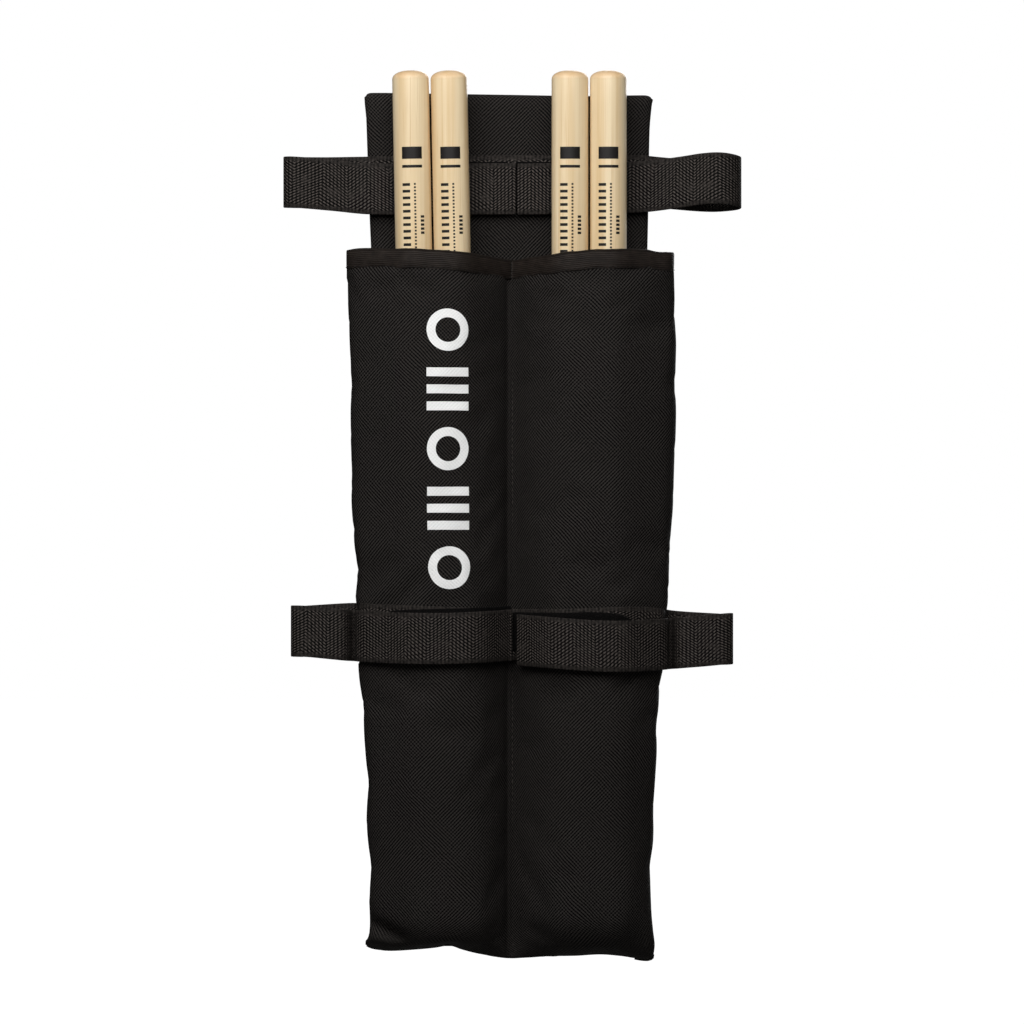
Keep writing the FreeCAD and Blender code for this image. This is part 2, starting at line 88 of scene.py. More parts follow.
ARC_STEP = math.radians(7.0)   # of the segments round a bend
WRONG_WAY = 0.5                # radians past which a belt goes round a circle the long way
SWELL_FRAMES = 20              # of cloth simulation


class Side(Enum):
    """Left and right as seen from the front."""

    LEFT = -1
    RIGHT = 1

    @property
    def word(self) -> str:
        """The side's name in lower case."""
        return self.name.lower()

    @property
    def other(self) -> "Side":
        """The side across."""
        return Side(-self.value)


# ---- curves and tables --------------------------------------------------------------------


def place(x: float, y: float, height: float) -> Vector:
    """The point in the frame, in metres, of X, Y and a height in mm."""
    return Vector((x, y, height - ORIGIN_HEIGHT)) * MM


def ease(value: float, low: float, high: float) -> float:
    """A smooth step from 0 at low to 1 at high."""
    t = min(1.0, max(0.0, (value - low) / (high - low)))
    return t * t * (3 - 2 * t)


def hump(at: float, middle: float, width: float) -> float:
    """A smooth hump, 1 high at its middle, that has nearly gone at twice its width."""
    return math.exp(-((at - middle) / width)**2)


def follow(rows: Sequence[Point], at: float) -> float:
    """Reads a table with a smooth curve through its points.

    Args:
        rows: Pairs of position and value, sorted by position.
        at: The position to read.

    Returns:
        The value there, held constant past both ends.
    """
    if at <= rows[0][0]:
        return rows[0][1]
    if at >= rows[-1][0]:
        return rows[-1][1]
    i = bisect.bisect_right([row[0] for row in rows], at) - 1

    def slope(j: int) -> float:
        """The curve's slope at one row, from the rows beside it."""
        a, b = rows[max(0, j - 1)], rows[min(len(rows) - 1, j + 1)]
        return (b[1] - a[1]) / (b[0] - a[0])

    (x0, v0), (x1, v1) = rows[i], rows[i + 1]
    w = x1 - x0
    t = (at - x0) / w
    return ((2 * t**3 - 3 * t**2 + 1) * v0 + (t**3 - 2 * t**2 + t) * w * slope(i)
            + (3 * t**2 - 2 * t**3) * v1 + (t**3 - t**2) * w * slope(i + 1))


def belt(circles: Sequence[Circle], offset: float) -> list[Point]:
    """Points of a belt drawn round circles.

    Args:
        circles: Centre and radius of each. A positive one lies right of the belt, a negative
            one left of it, and a radius of 0 is an end.
        offset: How far the belt stands off, which keeps layers parallel.

    Returns:
        Points in order along the belt.
    """
    normals = []
    for (x0, y0, r0), (x1, y1, r1) in zip(circles, circles[1:]):
        length = math.hypot(x1 - x0, y1 - y0)
        lean = math.asin(max(-1.0, min(1.0, (r0 - r1) / length)))
        normals.append(math.atan2(y1 - y0, x1 - x0) + math.pi / 2 - lean)

    def touch(circle: Circle, normal: float) -> Point:
        """The belt's point on a circle in the direction of a normal."""
        reach = circle[2] + offset
        return circle[0] + reach * math.cos(normal), circle[1] + reach * math.sin(normal)

    points = [touch(circles[0], normals[0])]
    for circle, before, after in zip(circles[1:], normals, normals[1:]):
        turn = (after - before + math.pi) % (2 * math.pi) - math.pi
        if turn * math.copysign(1, circle[2]) > WRONG_WAY:
            turn -= math.copysign(2 * math.pi, circle[2])
        parts = max(1, math.ceil(abs(turn) / ARC_STEP))
        points += [touch(circle, before + turn * i / parts) for i in range(parts + 1)]
    points.append(touch(circles[-1], normals[-1]))
    return points


def fold_ring(x: float, y: float, radius: float, far_end: Point, near_end: Point) -> list[Point]:
    """Points of the webbing's middle round the fold of a loop.

    Args:
        x: Middle of the fold.
        y: The same.
        radius: Inside of the fold.
        far_end: Where the sewn strand arrives.
        near_end: Where the near strand leaves.

    Returns:
        The points, from the far strand round to the near one.
    """
    steps = 30
    reach = radius + WEBBING_THICKNESS / 2
    first = math.atan2(far_end[1] - y, far_end[0] - x)
    last = math.atan2(near_end[1] - y, near_end[0] - x) % (2 * math.pi)
    angles = [first + (last - first) * i / steps for i in range(steps + 1)]
    return [(x + reach * math.cos(angle), y + reach * math.sin(angle)) for angle in angles]


class Trace:
    """A plane curve through points, read by the distance along it."""

    def __init__(self, points: Iterable[Point]) -> None:
        """Measures the curve.

        Args:
            points: In order. Those that coincide with the one before are left out.
        """
        self.points: list[Point] = []
        self.marks: list[float] = []
        for point in points:
            step = math.dist(point, self.points[-1]) if self.points else 0.0
            if self.points and step < 1e-4:
                continue
            self.marks.append(self.marks[-1] + step if self.marks else 0.0)
            self.points.append(point)

    @property
    def length(self) -> float:
        """Length of the whole curve."""
        return self.marks[-1]

    def read(self, distance: float) -> Point:
        """Finds a point of the curve.

        Args:
            distance: From the start. Past an end, the last piece runs on straight.

        Returns:
            The point there.
        """
        i = min(len(self.marks) - 2, max(0, bisect.bisect_right(self.marks, distance) - 1))
        share = (distance - self.marks[i]) / (self.marks[i + 1] - self.marks[i])
        (x0, y0), (x1, y1) = self.points[i], self.points[i + 1]
        return x0 + (x1 - x0) * share, y0 + (y1 - y0) * share

    def outward(self, distance: float, reach: float = 1.5) -> Point:
        """Finds the normal on the curve's left side.

        Args:
            distance: From the start.
            reach: How far to both sides the direction is taken over.

        Returns:
            A unit vector.
        """
        (x0, y0), (x1, y1) = self.read(distance - reach), self.read(distance + reach)
        length = math.hypot(x1 - x0, y1 - y0)
        return -(y1 - y0) / length, (x1 - x0) / length

    def where(self, x: float) -> float:
        """Finds the first crossing of an X.

        Args:
            x: Where to look.

        Returns:
            The distance along the curve.

        Raises:
            ValueError: The curve never gets there.
        """
        for (x0, _), (x1, _), mark, after in zip(self.points, self.points[1:], self.marks,
                                                 self.marks[1:]):
            if min(x0, x1) <= x <= max(x0, x1) and x0 != x1:
                return mark + (after - mark) * (x - x0) / (x1 - x0)
        raise ValueError(f"the curve never crosses x = {x}")

    def cut(self, low: float, high: float, steps: int) -> list[Point]:
        """Reads evenly spaced points of a stretch.

        Args:
            low: Distance of the first point.
            high: Distance of the last one, which may lie before the first.
            steps: Number of spaces between the points.

        Returns:
            The points.
        """
        return [self.read(low + (high - low) * i / steps) for i in range(steps + 1)]


# ---- meshes ---------------------------------------------------------------------------------


@dataclass
class Spot:
    """Where one point of a sheet goes."""

    at: Vector
    weave: Point                  # texture position in mm
    held: float = 0.0             # 1 where the cloth is sewn down


def link(name: str, bm: bmesh.types.BMesh, material: bpy.types.Material) -> bpy.types.Object:
    """Turns a bmesh into a smooth object in the scene and frees it.

    Args:
        name: Name of the object and its mesh.
        bm: The shape, in metres, in its place.
        material: Finish.

    Returns:
        The object.
    """
    mesh = bpy.data.meshes.new(name)
    bm.to_mesh(mesh)
    bm.free()
    mesh.materials.append(material)
    mesh.polygons.foreach_set("use_smooth", [True] * len(mesh.polygons))
    thing = bpy.data.objects.new(name, mesh)
    bpy.context.scene.collection.objects.link(thing)
    return thing


def cloth_sheet(name: str, columns: int, rows: int, shape: Callable[[int, int], Spot],
                material: bpy.types.Material, closed: bool = False,
                flip: bool = False) -> bpy.types.Object:
    """A grid of cloth, with each of its points moved to where it belongs.

    Args:
        name: Name of the piece.
        columns: Faces across.
        rows: Faces up.
        shape: Gives the spot of a column and row.
        material: Finish.
        closed: Merges the points that meet, and points the faces outwards.
        flip: Turns the faces of an open sheet over.

    Returns:
        The object, with a vertex group "sewn" where the cloth is held.
    """
    bm = bmesh.new()
    bmesh.ops.create_grid(bm, x_segments=columns, y_segments=rows, size=1.0)
    weave = bm.loops.layers.uv.new("weave")
    sewn = bm.verts.layers.deform.verify()
    spots = {}
    for vert in bm.verts:
        column = round((vert.co.x + 1) / 2 * columns)
        row = round((vert.co.y + 1) / 2 * rows)
        spots[vert] = shape(column, row)
    for face in bm.faces:
        for loop in face.loops:
            loop[weave].uv = spots[loop.vert].weave
    for vert, spot in spots.items():
        vert.co = spot.at
        vert[sewn][0] = spot.held
    if closed:
        bmesh.ops.remove_doubles(bm, verts=bm.verts, dist=1e-6)
        bmesh.ops.recalc_face_normals(bm, faces=bm.faces)
    elif flip:
        bmesh.ops.reverse_faces(bm, faces=bm.faces)
    piece = link(name, bm, material)
    piece.vertex_groups.new(name="sewn")
    return piece


def thicken(piece: bpy.types.Object, thickness: float, offset: float,
            edge: float = 0.0) -> None:
    """Gives a sheet its thickness.

    Args:
        piece: The sheet.
        thickness: In mm.
        offset: -1 puts all of it behind the sheet, 0 half on each side.
        edge: Rounding of its rim, in mm.
    """
    wall = piece.modifiers.new("thickness", "SOLIDIFY")
    wall.thickness = thickness * MM
    wall.offset = offset
    wall.use_even_offset = False
    if edge:
        rim = piece.modifiers.new("rim", "BEVEL")
        rim.width = edge * MM
        rim.segments = 2
        rim.limit_method = "ANGLE"
        rim.angle_limit = math.radians(60)


def swell(piece: bpy.types.Object, pressure: float, cap: float, slack: float) -> None:
    """Fills padded cloth between the seams that hold it, by a short cloth simulation.

    Args:
        piece: A sheet with a vertex group "sewn".
        pressure: Pressure from inside.
        cap: The furthest that a point may move, in mm.
        slack: How much larger the cloth is than the form it covers, as a share.
    """
    mesh = piece.data
    rest = [vert.co.copy() for vert in mesh.vertices]
    air = piece.modifiers.new("air", "CLOTH")
    cloth = air.settings
    cloth.quality = 5
    cloth.mass = 0.25
    cloth.tension_stiffness = cloth.compression_stiffness = 12
    cloth.shear_stiffness = 8
    cloth.bending_stiffness = 2.0
    cloth.air_damping = 3
    cloth.vertex_group_mass = "sewn"
    cloth.use_pressure = True
    cloth.uniform_pressure_force = pressure
    cloth.shrink_min = -slack
    cloth.effector_weights.gravity = 0
    air.collision_settings.use_collision = False
    scene = bpy.context.scene
    for step in range(1, SWELL_FRAMES + 1):
        scene.frame_set(step)
    graph = bpy.context.evaluated_depsgraph_get()
    moved = [vert.co.copy() for vert in piece.evaluated_get(graph).data.vertices]
    piece.modifiers.remove(air)
    scene.frame_set(1)
    limit = cap * MM
    for vert, start, end in zip(mesh.vertices, rest, moved):
        shift = end - start
        length = shift.length
        if length > 0:
            vert.co = start + shift * (limit * math.tanh(length / limit) / length)
    mesh.update()


def crumple(piece: bpy.types.Object, size: float, depth: float,
            amount: Callable[[Vector], float]) -> None:
    """Moves points along their normals by smooth noise.

    Args:
        piece: The cloth.
        size: Size of the folds in mm.
        depth: Depth of the folds in mm.
        amount: Share of the depth at a point in metres.
    """
    mesh = piece.data
    normals = [vert.normal.copy() for vert in mesh.vertices]
    for vert, normal in zip(mesh.vertices, normals):
        height = noise.noise(vert.co / (size * MM))
        vert.co += normal * (height * depth * MM * amount(vert.co))
    mesh.update()


# ---- finishes -------------------------------------------------------------------------------


def linear(code: str) -> tuple[float, float, float, float]:
    """The linear colour, with full alpha, of an sRGB hex value."""
    parts = [int(code[i:i + 2], 16) / 255 for i in (1, 3, 5)]
    return *(p / 12.92 if p <= 0.04045 else ((p + 0.055) / 1.055)**2.4 for p in parts), 1.0


class Graph:
    """The node tree of one material, or of the world."""

    def __init__(self, name: str, world: bool = False) -> None:
        """Makes an empty one.

        Args:
            name: Of the material or world.
            world: Whether it is the world's.
        """
        self.owner = (bpy.data.worlds if world else bpy.data.materials).new(name)
        self.owner.use_nodes = True
        self.tree = self.owner.node_tree
        self.tree.nodes.clear()

    def add(self, kind: str, *inputs: object, named: dict[str | int, object] | None = None,
            **settings: object) -> bpy.types.NodeSocket:
        """Adds a node.

        Args:
            kind: Its type, without the prefix.
            inputs: Sockets to link or values to set, in order. None leaves one alone.
            named: The same, by name or index.
            settings: Attributes of the node.

        Returns:
            Its first output, or its colour output where it is a Mix of colours.
        """
        node = self.tree.nodes.new("ShaderNode" + kind)
        for key, value in settings.items():
            setattr(node, key, value)
        for key, value in [*enumerate(inputs), *(named or {}).items()]:
            if isinstance(value, bpy.types.NodeSocket):
                self.tree.links.new(value, node.inputs[key])
            elif value is not None:
                node.inputs[key].default_value = value
        colour_mix = kind == "Mix" and settings.get("data_type") == "RGBA"
        return node.outputs[2 if colour_mix else 0] if node.outputs else None

    def finish(self, surface: bpy.types.NodeSocket) -> bpy.types.Material:
        """Joins the surface to the output and returns the material."""
        self.add("OutputMaterial", surface)
        return self.owner


@dataclass(frozen=True)
class Nylon:
    """Plain-woven ballistic nylon. The eye sees a dense lattice of small yarn floats that read
    as fine diagonals, nearly black and matt."""

    name: str = "ballistic_nylon"
    shade: str = "#000000"         # between the yarns
    crest: str = "#33302e"         # on top of a yarn
    # yarns are about 0.6 mm apart, and drawn coarser so that they show
    pitch: float = 1.85            # mm along the weave from one slanting row to the next
    wander: float = 1.4            # how far the rows sway from straight, mm
    lay_patch: float = 28.0        # size of the areas in which one slant stands out, mm
    lay_least: float = 0.24        # the weaker slant's share of the pattern there
    relief: float = 0.22           # mm
    roughness: float = 0.85
    printed: bool = False

    def build(self) -> bpy.types.Material:
        """Builds the material."""
        g = Graph(self.name)
        weave = g.add("UVMap", uv_map="weave")
        # two families of slanting rows, each the stronger one in patches
        drift = g.add("TexNoise", weave, named={"Scale": 0.06, "Detail": 1.0})
        wobble = g.add("VectorMath", drift, (0.5, 0.5, 0.5), operation="SUBTRACT")
        moved = g.add("VectorMath", wobble, (self.wander, self.wander, 0.0), weave,
                      operation="MULTIPLY_ADD")
        beat = 2 * math.pi / self.pitch
        turned = g.add("VectorMath", moved, (beat, beat, 0.0), operation="MULTIPLY")
        axes = g.add("SeparateXYZ", turned).node.outputs
        rows = []
        for way in ("ADD", "SUBTRACT"):
            slant = g.add("Math", g.add("Math", *axes[:2], operation=way), operation="SINE")
            rows.append(g.add("Math", slant, 0.5, 0.5, operation="MULTIPLY_ADD"))
        patch = g.add("TexNoise", weave, named={"Scale": 1 / self.lay_patch, "Detail": 1.5})
        lay = g.add("MapRange", patch, 0.42, 0.58, self.lay_least, 1 - self.lay_least)
        slanted = g.add("Mix", lay, named={2: rows[0], 3: rows[1]})
        # uneven yarns, and wear that changes slowly over the cloth
        slub = g.add("TexNoise", weave, named={"Scale": 0.8, "Detail": 3.0})
        height = g.add("Math", slub, 0.55, slanted, operation="MULTIPLY_ADD")
        wear = g.add("TexNoise", weave, named={"Scale": 0.018, "Detail": 2.0})
        tone = g.add("MapRange", wear, 0.3, 0.7, 0.96, 1.04)
        lit = g.add("Math", height, tone, operation="MULTIPLY")
        share = g.add("MapRange", lit, 0.48, 1.12, 0.0, 1.0)
        colour = g.add("Mix", share, data_type="RGBA",
                       named={6: linear(self.shade), 7: linear(self.crest)})
        if self.printed:
            colour = PocketMarks().paint(g, weave, colour, height)
        bump = g.add("Bump", named={"Height": height, "Distance": self.relief * MM,
                                    "Strength": 0.6})
        return g.finish(g.add("BsdfPrincipled", named={
            "Base Color": colour, "Roughness": self.roughness, "Normal": bump,
            "Specular IOR Level": 0.06}))


@dataclass(frozen=True)
class PocketMarks:
    """A plain white screen print on the left pocket: rings and sets of bars in a column."""

    ink: str = "#f3f3f2"
    middle: float = -41.0          # across the bag, along the cloth, in mm
    first: float = 312.0           # height of the top mark's middle
    pitch: float = 29.4            # from one mark to the next
    reach: float = 10.6            # half size of a mark
    stroke: float = 4.4            # width of its lines
    count: int = 5

    def ring(self, g: Graph, across: bpy.types.NodeSocket,
             up: bpy.types.NodeSocket) -> bpy.types.NodeSocket:
        """Draws a ring.

        Args:
            g: The cloth's graph.
            across: Distance from the mark's middle across the bag, mm.
            up: The same up the bag.

        Returns:
            1 on the ring.
        """
        spot = g.add("CombineXYZ", across, up)
        radius = g.add("VectorMath", spot, operation="LENGTH").node.outputs[1]
        off = g.add("Math", radius, self.reach - self.stroke / 2, operation="SUBTRACT")
        line = g.add("Math", off, operation="ABSOLUTE")
        return g.add("Math", line, self.stroke / 2, operation="LESS_THAN")

    def bars(self, g: Graph, across: bpy.types.NodeSocket,
             up: bpy.types.NodeSocket) -> bpy.types.NodeSocket:
        """Draws three bars, one above the other.

        Args:
            g: The cloth's graph.
            across: Distance from the mark's middle across the bag, mm.
            up: The same up the bag.

        Returns:
            1 on the bars.
        """
        rung = g.add("Math", up, (self.reach - self.stroke / 2) / 2, operation="PINGPONG")
        mark = g.add("Math", rung, self.stroke / 2, operation="LESS_THAN")
        for axis in (up, across):
            distance = g.add("Math", axis, operation="ABSOLUTE")
            inside = g.add("Math", distance, self.reach, operation="LESS_THAN")
            mark = g.add("Math", mark, inside, operation="MULTIPLY")
        return mark

    def paint(self, g: Graph, weave: bpy.types.NodeSocket, cloth: bpy.types.NodeSocket,
              height: bpy.types.NodeSocket) -> bpy.types.NodeSocket:
        """Lays the print over the cloth's colour.

        Args:
            g: The cloth's graph.
            weave: Position on the cloth, mm.
            cloth: Its colour.
            height: Of its yarns. The ink is thinner between them.

        Returns:
            The printed colour.
        """
        axes = g.add("SeparateXYZ", weave).node.outputs
        across = g.add("Math", axes[0], self.middle, operation="SUBTRACT")
        marks = None
        for index in range(self.count):
            up = g.add("Math", axes[1], self.first - index * self.pitch, operation="SUBTRACT")
            draw = self.bars if index % 2 else self.ring
            mark = draw(g, across, up)
            marks = mark if marks is None else g.add("Math", marks, mark, operation="MAXIMUM")
        cover = g.add("MapRange", height, 0.3, 0.8, 0.90, 1.0)
        amount = g.add("Math", marks, cover, operation="MULTIPLY")
        return g.add("Mix", amount, data_type="RGBA", named={6: cloth, 7: linear(self.ink)})


@dataclass(frozen=True)
class Webbing:
    """Herringbone nylon webbing. The eye sees slanting floats that turn back and forth along
    the strap, between two smoother selvages."""

    name: str = "herringbone_webbing"
    shade: str = "#000000"
    crest: str = "#524c48"
    stroke: float = 1.5            # across the strap from one float to the next, mm
    dash: float = 1.85             # length of a float along the strap
    chevron: float = 12.0          # how far the rows run before they turn
    slant: float = 0.62            # of the rows: rise across the strap over run along it
    wander: float = 14.0           # how far the rows' turns drift along the strap, mm
    selvage: float = 10.5          # from the middle to the smooth edge
    worn_patch: float = 7.0        # size of the areas where the floats are pressed flat, mm
    worn_height: float = 0.42      # of the pressed floats
    relief: float = 0.3            # mm

    def build(self) -> bpy.types.Material:
        """Builds the material."""
        g = Graph(self.name)
        weave = g.add("UVMap", uv_map="weave")
        axes = g.add("SeparateXYZ", weave).node.outputs
        # rows of floats that turn back and forth along the strap
        drift = g.add("TexNoise", weave, named={"Scale": 0.03, "Detail": 0.0})
        along = g.add("Math", drift, self.wander, axes[0], operation="MULTIPLY_ADD")
        turn = g.add("Math", along, self.chevron, operation="PINGPONG")
        slanted = g.add("Math", turn, self.slant, axes[1], operation="MULTIPLY_ADD")
        waves = []
        for distance, period in ((slanted, self.stroke), (axes[0], self.dash)):
            phase = g.add("Math", distance, 2 * math.pi / period, operation="MULTIPLY")
            wave = g.add("Math", phase, operation="SINE")
            waves.append(g.add("Math", wave, 0.5, 0.5, operation="MULTIPLY_ADD"))
        beads = g.add("Math", waves[1], 0.72, 0.28, operation="MULTIPLY_ADD")
        body = g.add("Math", waves[0], beads, operation="MULTIPLY")
        # patches where they are pressed flat, smooth selvages, and fuzz over all of it
        pressed = g.add("TexNoise", weave, named={"Scale": 1 / self.worn_patch, "Detail": 2.0})
        flat = g.add("MapRange", pressed, 0.48, 0.70, 0.0, 0.6)
        worn = g.add("Mix", flat, named={2: body, 3: self.worn_height})
        edge = g.add("Math", axes[1], operation="ABSOLUTE")
        smooth = g.add("MapRange", edge, self.selvage - 0.4, self.selvage + 0.4, 0.0, 1.0)
        rim = g.add("Math", waves[1], 0.1, 0.26, operation="MULTIPLY_ADD")
        height = g.add("Mix", smooth, named={2: worn, 3: rim})
        fuzz = g.add("TexNoise", weave, named={"Scale": 0.7, "Detail": 3.0})
        rough = g.add("Math", fuzz, 0.5, height, operation="MULTIPLY_ADD")
        share = g.add("MapRange", rough, 0.42, 1.04, 0.0, 1.0)
        colour = g.add("Mix", share, data_type="RGBA",
                       named={6: linear(self.shade), 7: linear(self.crest)})
        bump = g.add("Bump", named={"Height": rough, "Distance": self.relief * MM,
                                    "Strength": 0.7})
        return g.finish(g.add("BsdfPrincipled", named={
            "Base Color": colour, "Roughness": 0.75, "Normal": bump,
            "Specular IOR Level": 0.08}))


@dataclass(frozen=True)
class Taffeta:
    """Smooth thin nylon, for the binding and the lining: a fine rib that shows as soft gloss."""

    name: str
    shade: str
    crest: str
    rib: float = 0.45              # mm from one rib to the next
    roughness: float = 0.55

    def build(self) -> bpy.types.Material:
        """Builds the material."""
        g = Graph(self.name)
        weave = g.add("UVMap", uv_map="weave")
        axes = g.add("SeparateXYZ", weave).node.outputs
        phase = g.add("Math", axes[1], math.pi / self.rib, operation="MULTIPLY")
        ribs = g.add("Math", g.add("Math", phase, operation="SINE"), operation="ABSOLUTE")
        # creases 4.5 mm long and 1.7 mm wide
        creased = g.add("VectorMath", weave, (0.22, 0.6, 0.0), operation="MULTIPLY")
        folds = g.add("TexNoise", creased, named={"Scale": 1.0, "Detail": 3.0})
        height = g.add("Math", folds, 2.4, ribs, operation="MULTIPLY_ADD")
        share = g.add("MapRange", height, 0.9, 2.7, 0.0, 1.0)
        colour = g.add("Mix", share, data_type="RGBA",
                       named={6: linear(self.shade), 7: linear(self.crest)})
        bump = g.add("Bump", named={"Height": height, "Distance": 0.2 * MM, "Strength": 0.8})
        return g.finish(g.add("BsdfPrincipled", named={
            "Base Color": colour, "Roughness": self.roughness, "Normal": bump,
            "Specular IOR Level": 0.1}))


@dataclass(frozen=True)
class Thread:
    """Twisted polyester sewing thread. The eye sees separate stitches, hardly lighter than the
    cloth round them."""

    name: str = "sewing_thread"
    shade: str = "#1a1816"         # between the plies
    crest: str = "#4a4541"

    def build(self) -> bpy.types.Material:
        """Builds the material."""
        g = Graph(self.name)
        spot = g.add("TexCoord").node.outputs["Object"]
        twist = g.add("TexNoise", spot, named={"Scale": 2600.0, "Detail": 2.0})
        share = g.add("MapRange", twist, 0.3, 0.7, 0.0, 1.0)
        colour = g.add("Mix", share, data_type="RGBA",
                       named={6: linear(self.shade), 7: linear(self.crest)})
        bump = g.add("Bump", named={"Height": twist, "Distance": 0.1 * MM, "Strength": 0.8})
        return g.finish(g.add("BsdfPrincipled", named={
            "Base Color": colour, "Roughness": 0.6, "Normal": bump,
            "Specular IOR Level": 0.2}))


@dataclass(frozen=True)
class ClosureTape:
    """Hook or pile tape. Pile is a felt of tiny loops, hook is rows of small stiff bristles."""

    name: str
    hooks: bool
    shade: str = "#020202"
    crest: str = "#1b1817"

    def build(self) -> bpy.types.Material:
        """Builds the material."""
        g = Graph(self.name)
        weave = g.add("UVMap", uv_map="weave")
        # hooks stand 1.1 mm apart in rows, loops lie 0.5 mm apart anyhow
        scale, randomness = (0.9, 0.35) if self.hooks else (2.2, 1.0)
        dots = g.add("TexVoronoi", weave, named={"Scale": scale, "Randomness": randomness})
        height = g.add("MapRange", dots, 0.0, 0.6, 1.0, 0.0)
        colour = g.add("Mix", height, data_type="RGBA",
                       named={6: linear(self.shade), 7: linear(self.crest)})
        bump = g.add("Bump", named={"Height": height, "Distance": 0.4 * MM, "Strength": 1.0})
        return g.finish(g.add("BsdfPrincipled", named={
            "Base Color": colour, "Roughness": 0.6 if self.hooks else 0.9, "Normal": bump,
            "Specular IOR Level": 0.1}))


@dataclass(frozen=True)
class Hickory:
    """Turned hickory under clear satin lacquer. The eye sees straight pale grain along the
    stick, fine pores, and slightly darker end grain on the domed butt."""

    name: str = "lacquered_hickory"
    pale: str = "#e6d2ae"
    warm: str = "#d8bd92"
    pore: str = "#b98f5e"
    end: str = "#cba277"           # end grain

    def build(self) -> bpy.types.Material:
        """Builds the material."""
        g = Graph(self.name)
        spot = g.add("TexCoord").node.outputs["Object"]
        # bands 4 mm wide and pores 0.7 mm wide, both drawn out along the stick
        long_grain = g.add("Mapping", spot, named={"Scale": (260.0, 260.0, 5.0)})
        bands = g.add("TexNoise", long_grain, named={"Scale": 1.0, "Detail": 4.0})
        fine_grain = g.add("Mapping", spot, named={"Scale": (1500.0, 1500.0, 22.0)})
        pores = g.add("TexNoise", fine_grain, named={"Scale": 1.0, "Detail": 2.0})
        band = g.add("MapRange", bands, 0.36, 0.64, 0.0, 1.0)
        body = g.add("Mix", band, data_type="RGBA",
                     named={6: linear(self.pale), 7: linear(self.warm)})
        dark = g.add("MapRange", pores, 0.60, 0.76, 0.0, 0.42)
        grained = g.add("Mix", dark, data_type="RGBA", named={6: body, 7: linear(self.pore)})
        # end grain on the dome
        weave = g.add("UVMap", uv_map="weave")
        axes = g.add("SeparateXYZ", weave).node.outputs
        crown = g.add("MapRange", axes[1], 2.2, 5.0, 0.5, 0.0)
        ended = g.add("Mix", crown, data_type="RGBA", named={6: grained, 7: linear(self.end)})
        marked = StickMarks().paint(g, axes, ended)
        bump = g.add("Bump", named={"Height": pores, "Distance": 0.03 * MM, "Strength": 0.5})
        return g.finish(g.add("BsdfPrincipled", named={
            "Base Color": marked, "Roughness": 0.42, "Normal": bump,
            "Specular IOR Level": 0.3, "Coat Weight": 0.2, "Coat Roughness": 0.2}))


@dataclass(frozen=True)
class StickMarks:
    """A plain black print on the front of each stick: a band, and columns of short bars."""

    ink: str = "#120f0d"
    # left and right edge from the stick's front line, top and bottom as distances from the
    # butt, spacing of the bars, all in mm, and how much of the spacing is inked
    columns: tuple[tuple[float, float, float, float, float, float], ...] = (
        (-5.2, 5.2, 38.0, 44.0, 50.0, 1.0), (-5.2, 5.2, 47.0, 48.4, 50.0, 1.0),
        (-5.2, -1.2, 56.0, 110.0, 3.3, 0.42), (0.7, 1.7, 56.0, 110.0, 1.65, 0.55),
        (3.9, 5.9, 72.0, 82.0, 2.0, 0.6))

    def paint(self, g: Graph, axes: bpy.types.NodeInputs,
              wood: bpy.types.NodeSocket) -> bpy.types.NodeSocket:
        """Lays the print over the wood's colour.

        Args:
            g: The wood's graph.
            axes: Distances round the stick and from its butt, mm.
            wood: Its colour.

        Returns:
            The printed colour.
        """
        marks = None
        for left, right, top, bottom, pitch, inked in self.columns:
            across = g.add("Math", axes[0], (left + right) / 2, (right - left) / 2,
                           operation="COMPARE")
            down = g.add("Math", axes[1], (top + bottom) / 2, (bottom - top) / 2,
                         operation="COMPARE")
            beat = g.add("Math", g.add("Math", axes[1], top, operation="SUBTRACT"), pitch,
                         operation="FLOORED_MODULO")
            on = g.add("Math", beat, pitch * inked, operation="LESS_THAN")
            column = g.add("Math", g.add("Math", across, down, operation="MULTIPLY"), on,
                           operation="MULTIPLY")
            marks = column if marks is None else g.add("Math", marks, column,
                                                       operation="MAXIMUM")
        return g.add("Mix", marks, data_type="RGBA", named={6: wood, 7: linear(self.ink)})


class Finishes:
    """Every material of the bag, built once."""

    def __init__(self) -> None:
        """Builds them."""
        self.panel = Nylon().build()
        self.pocket = Nylon(name="printed_ballistic_nylon", printed=True).build()
        self.webbing = Webbing().build()
        self.binding = Taffeta("taffeta_binding", "#15110f", "#2c2622").build()
        self.lining = Taffeta("taffeta_lining", "#0c0a08", "#1d1814", roughness=0.7).build()
        self.thread = Thread().build()
        self.dark_thread = Thread("binding_thread", "#0a0908", "#231f1c").build()
        self.pile = ClosureTape("pile_tape", hooks=False).build()
        self.hook = ClosureTape("hook_tape", hooks=True).build()
        self.wood = Hickory().build()


# ---- stitches -------------------------------------------------------------------------------


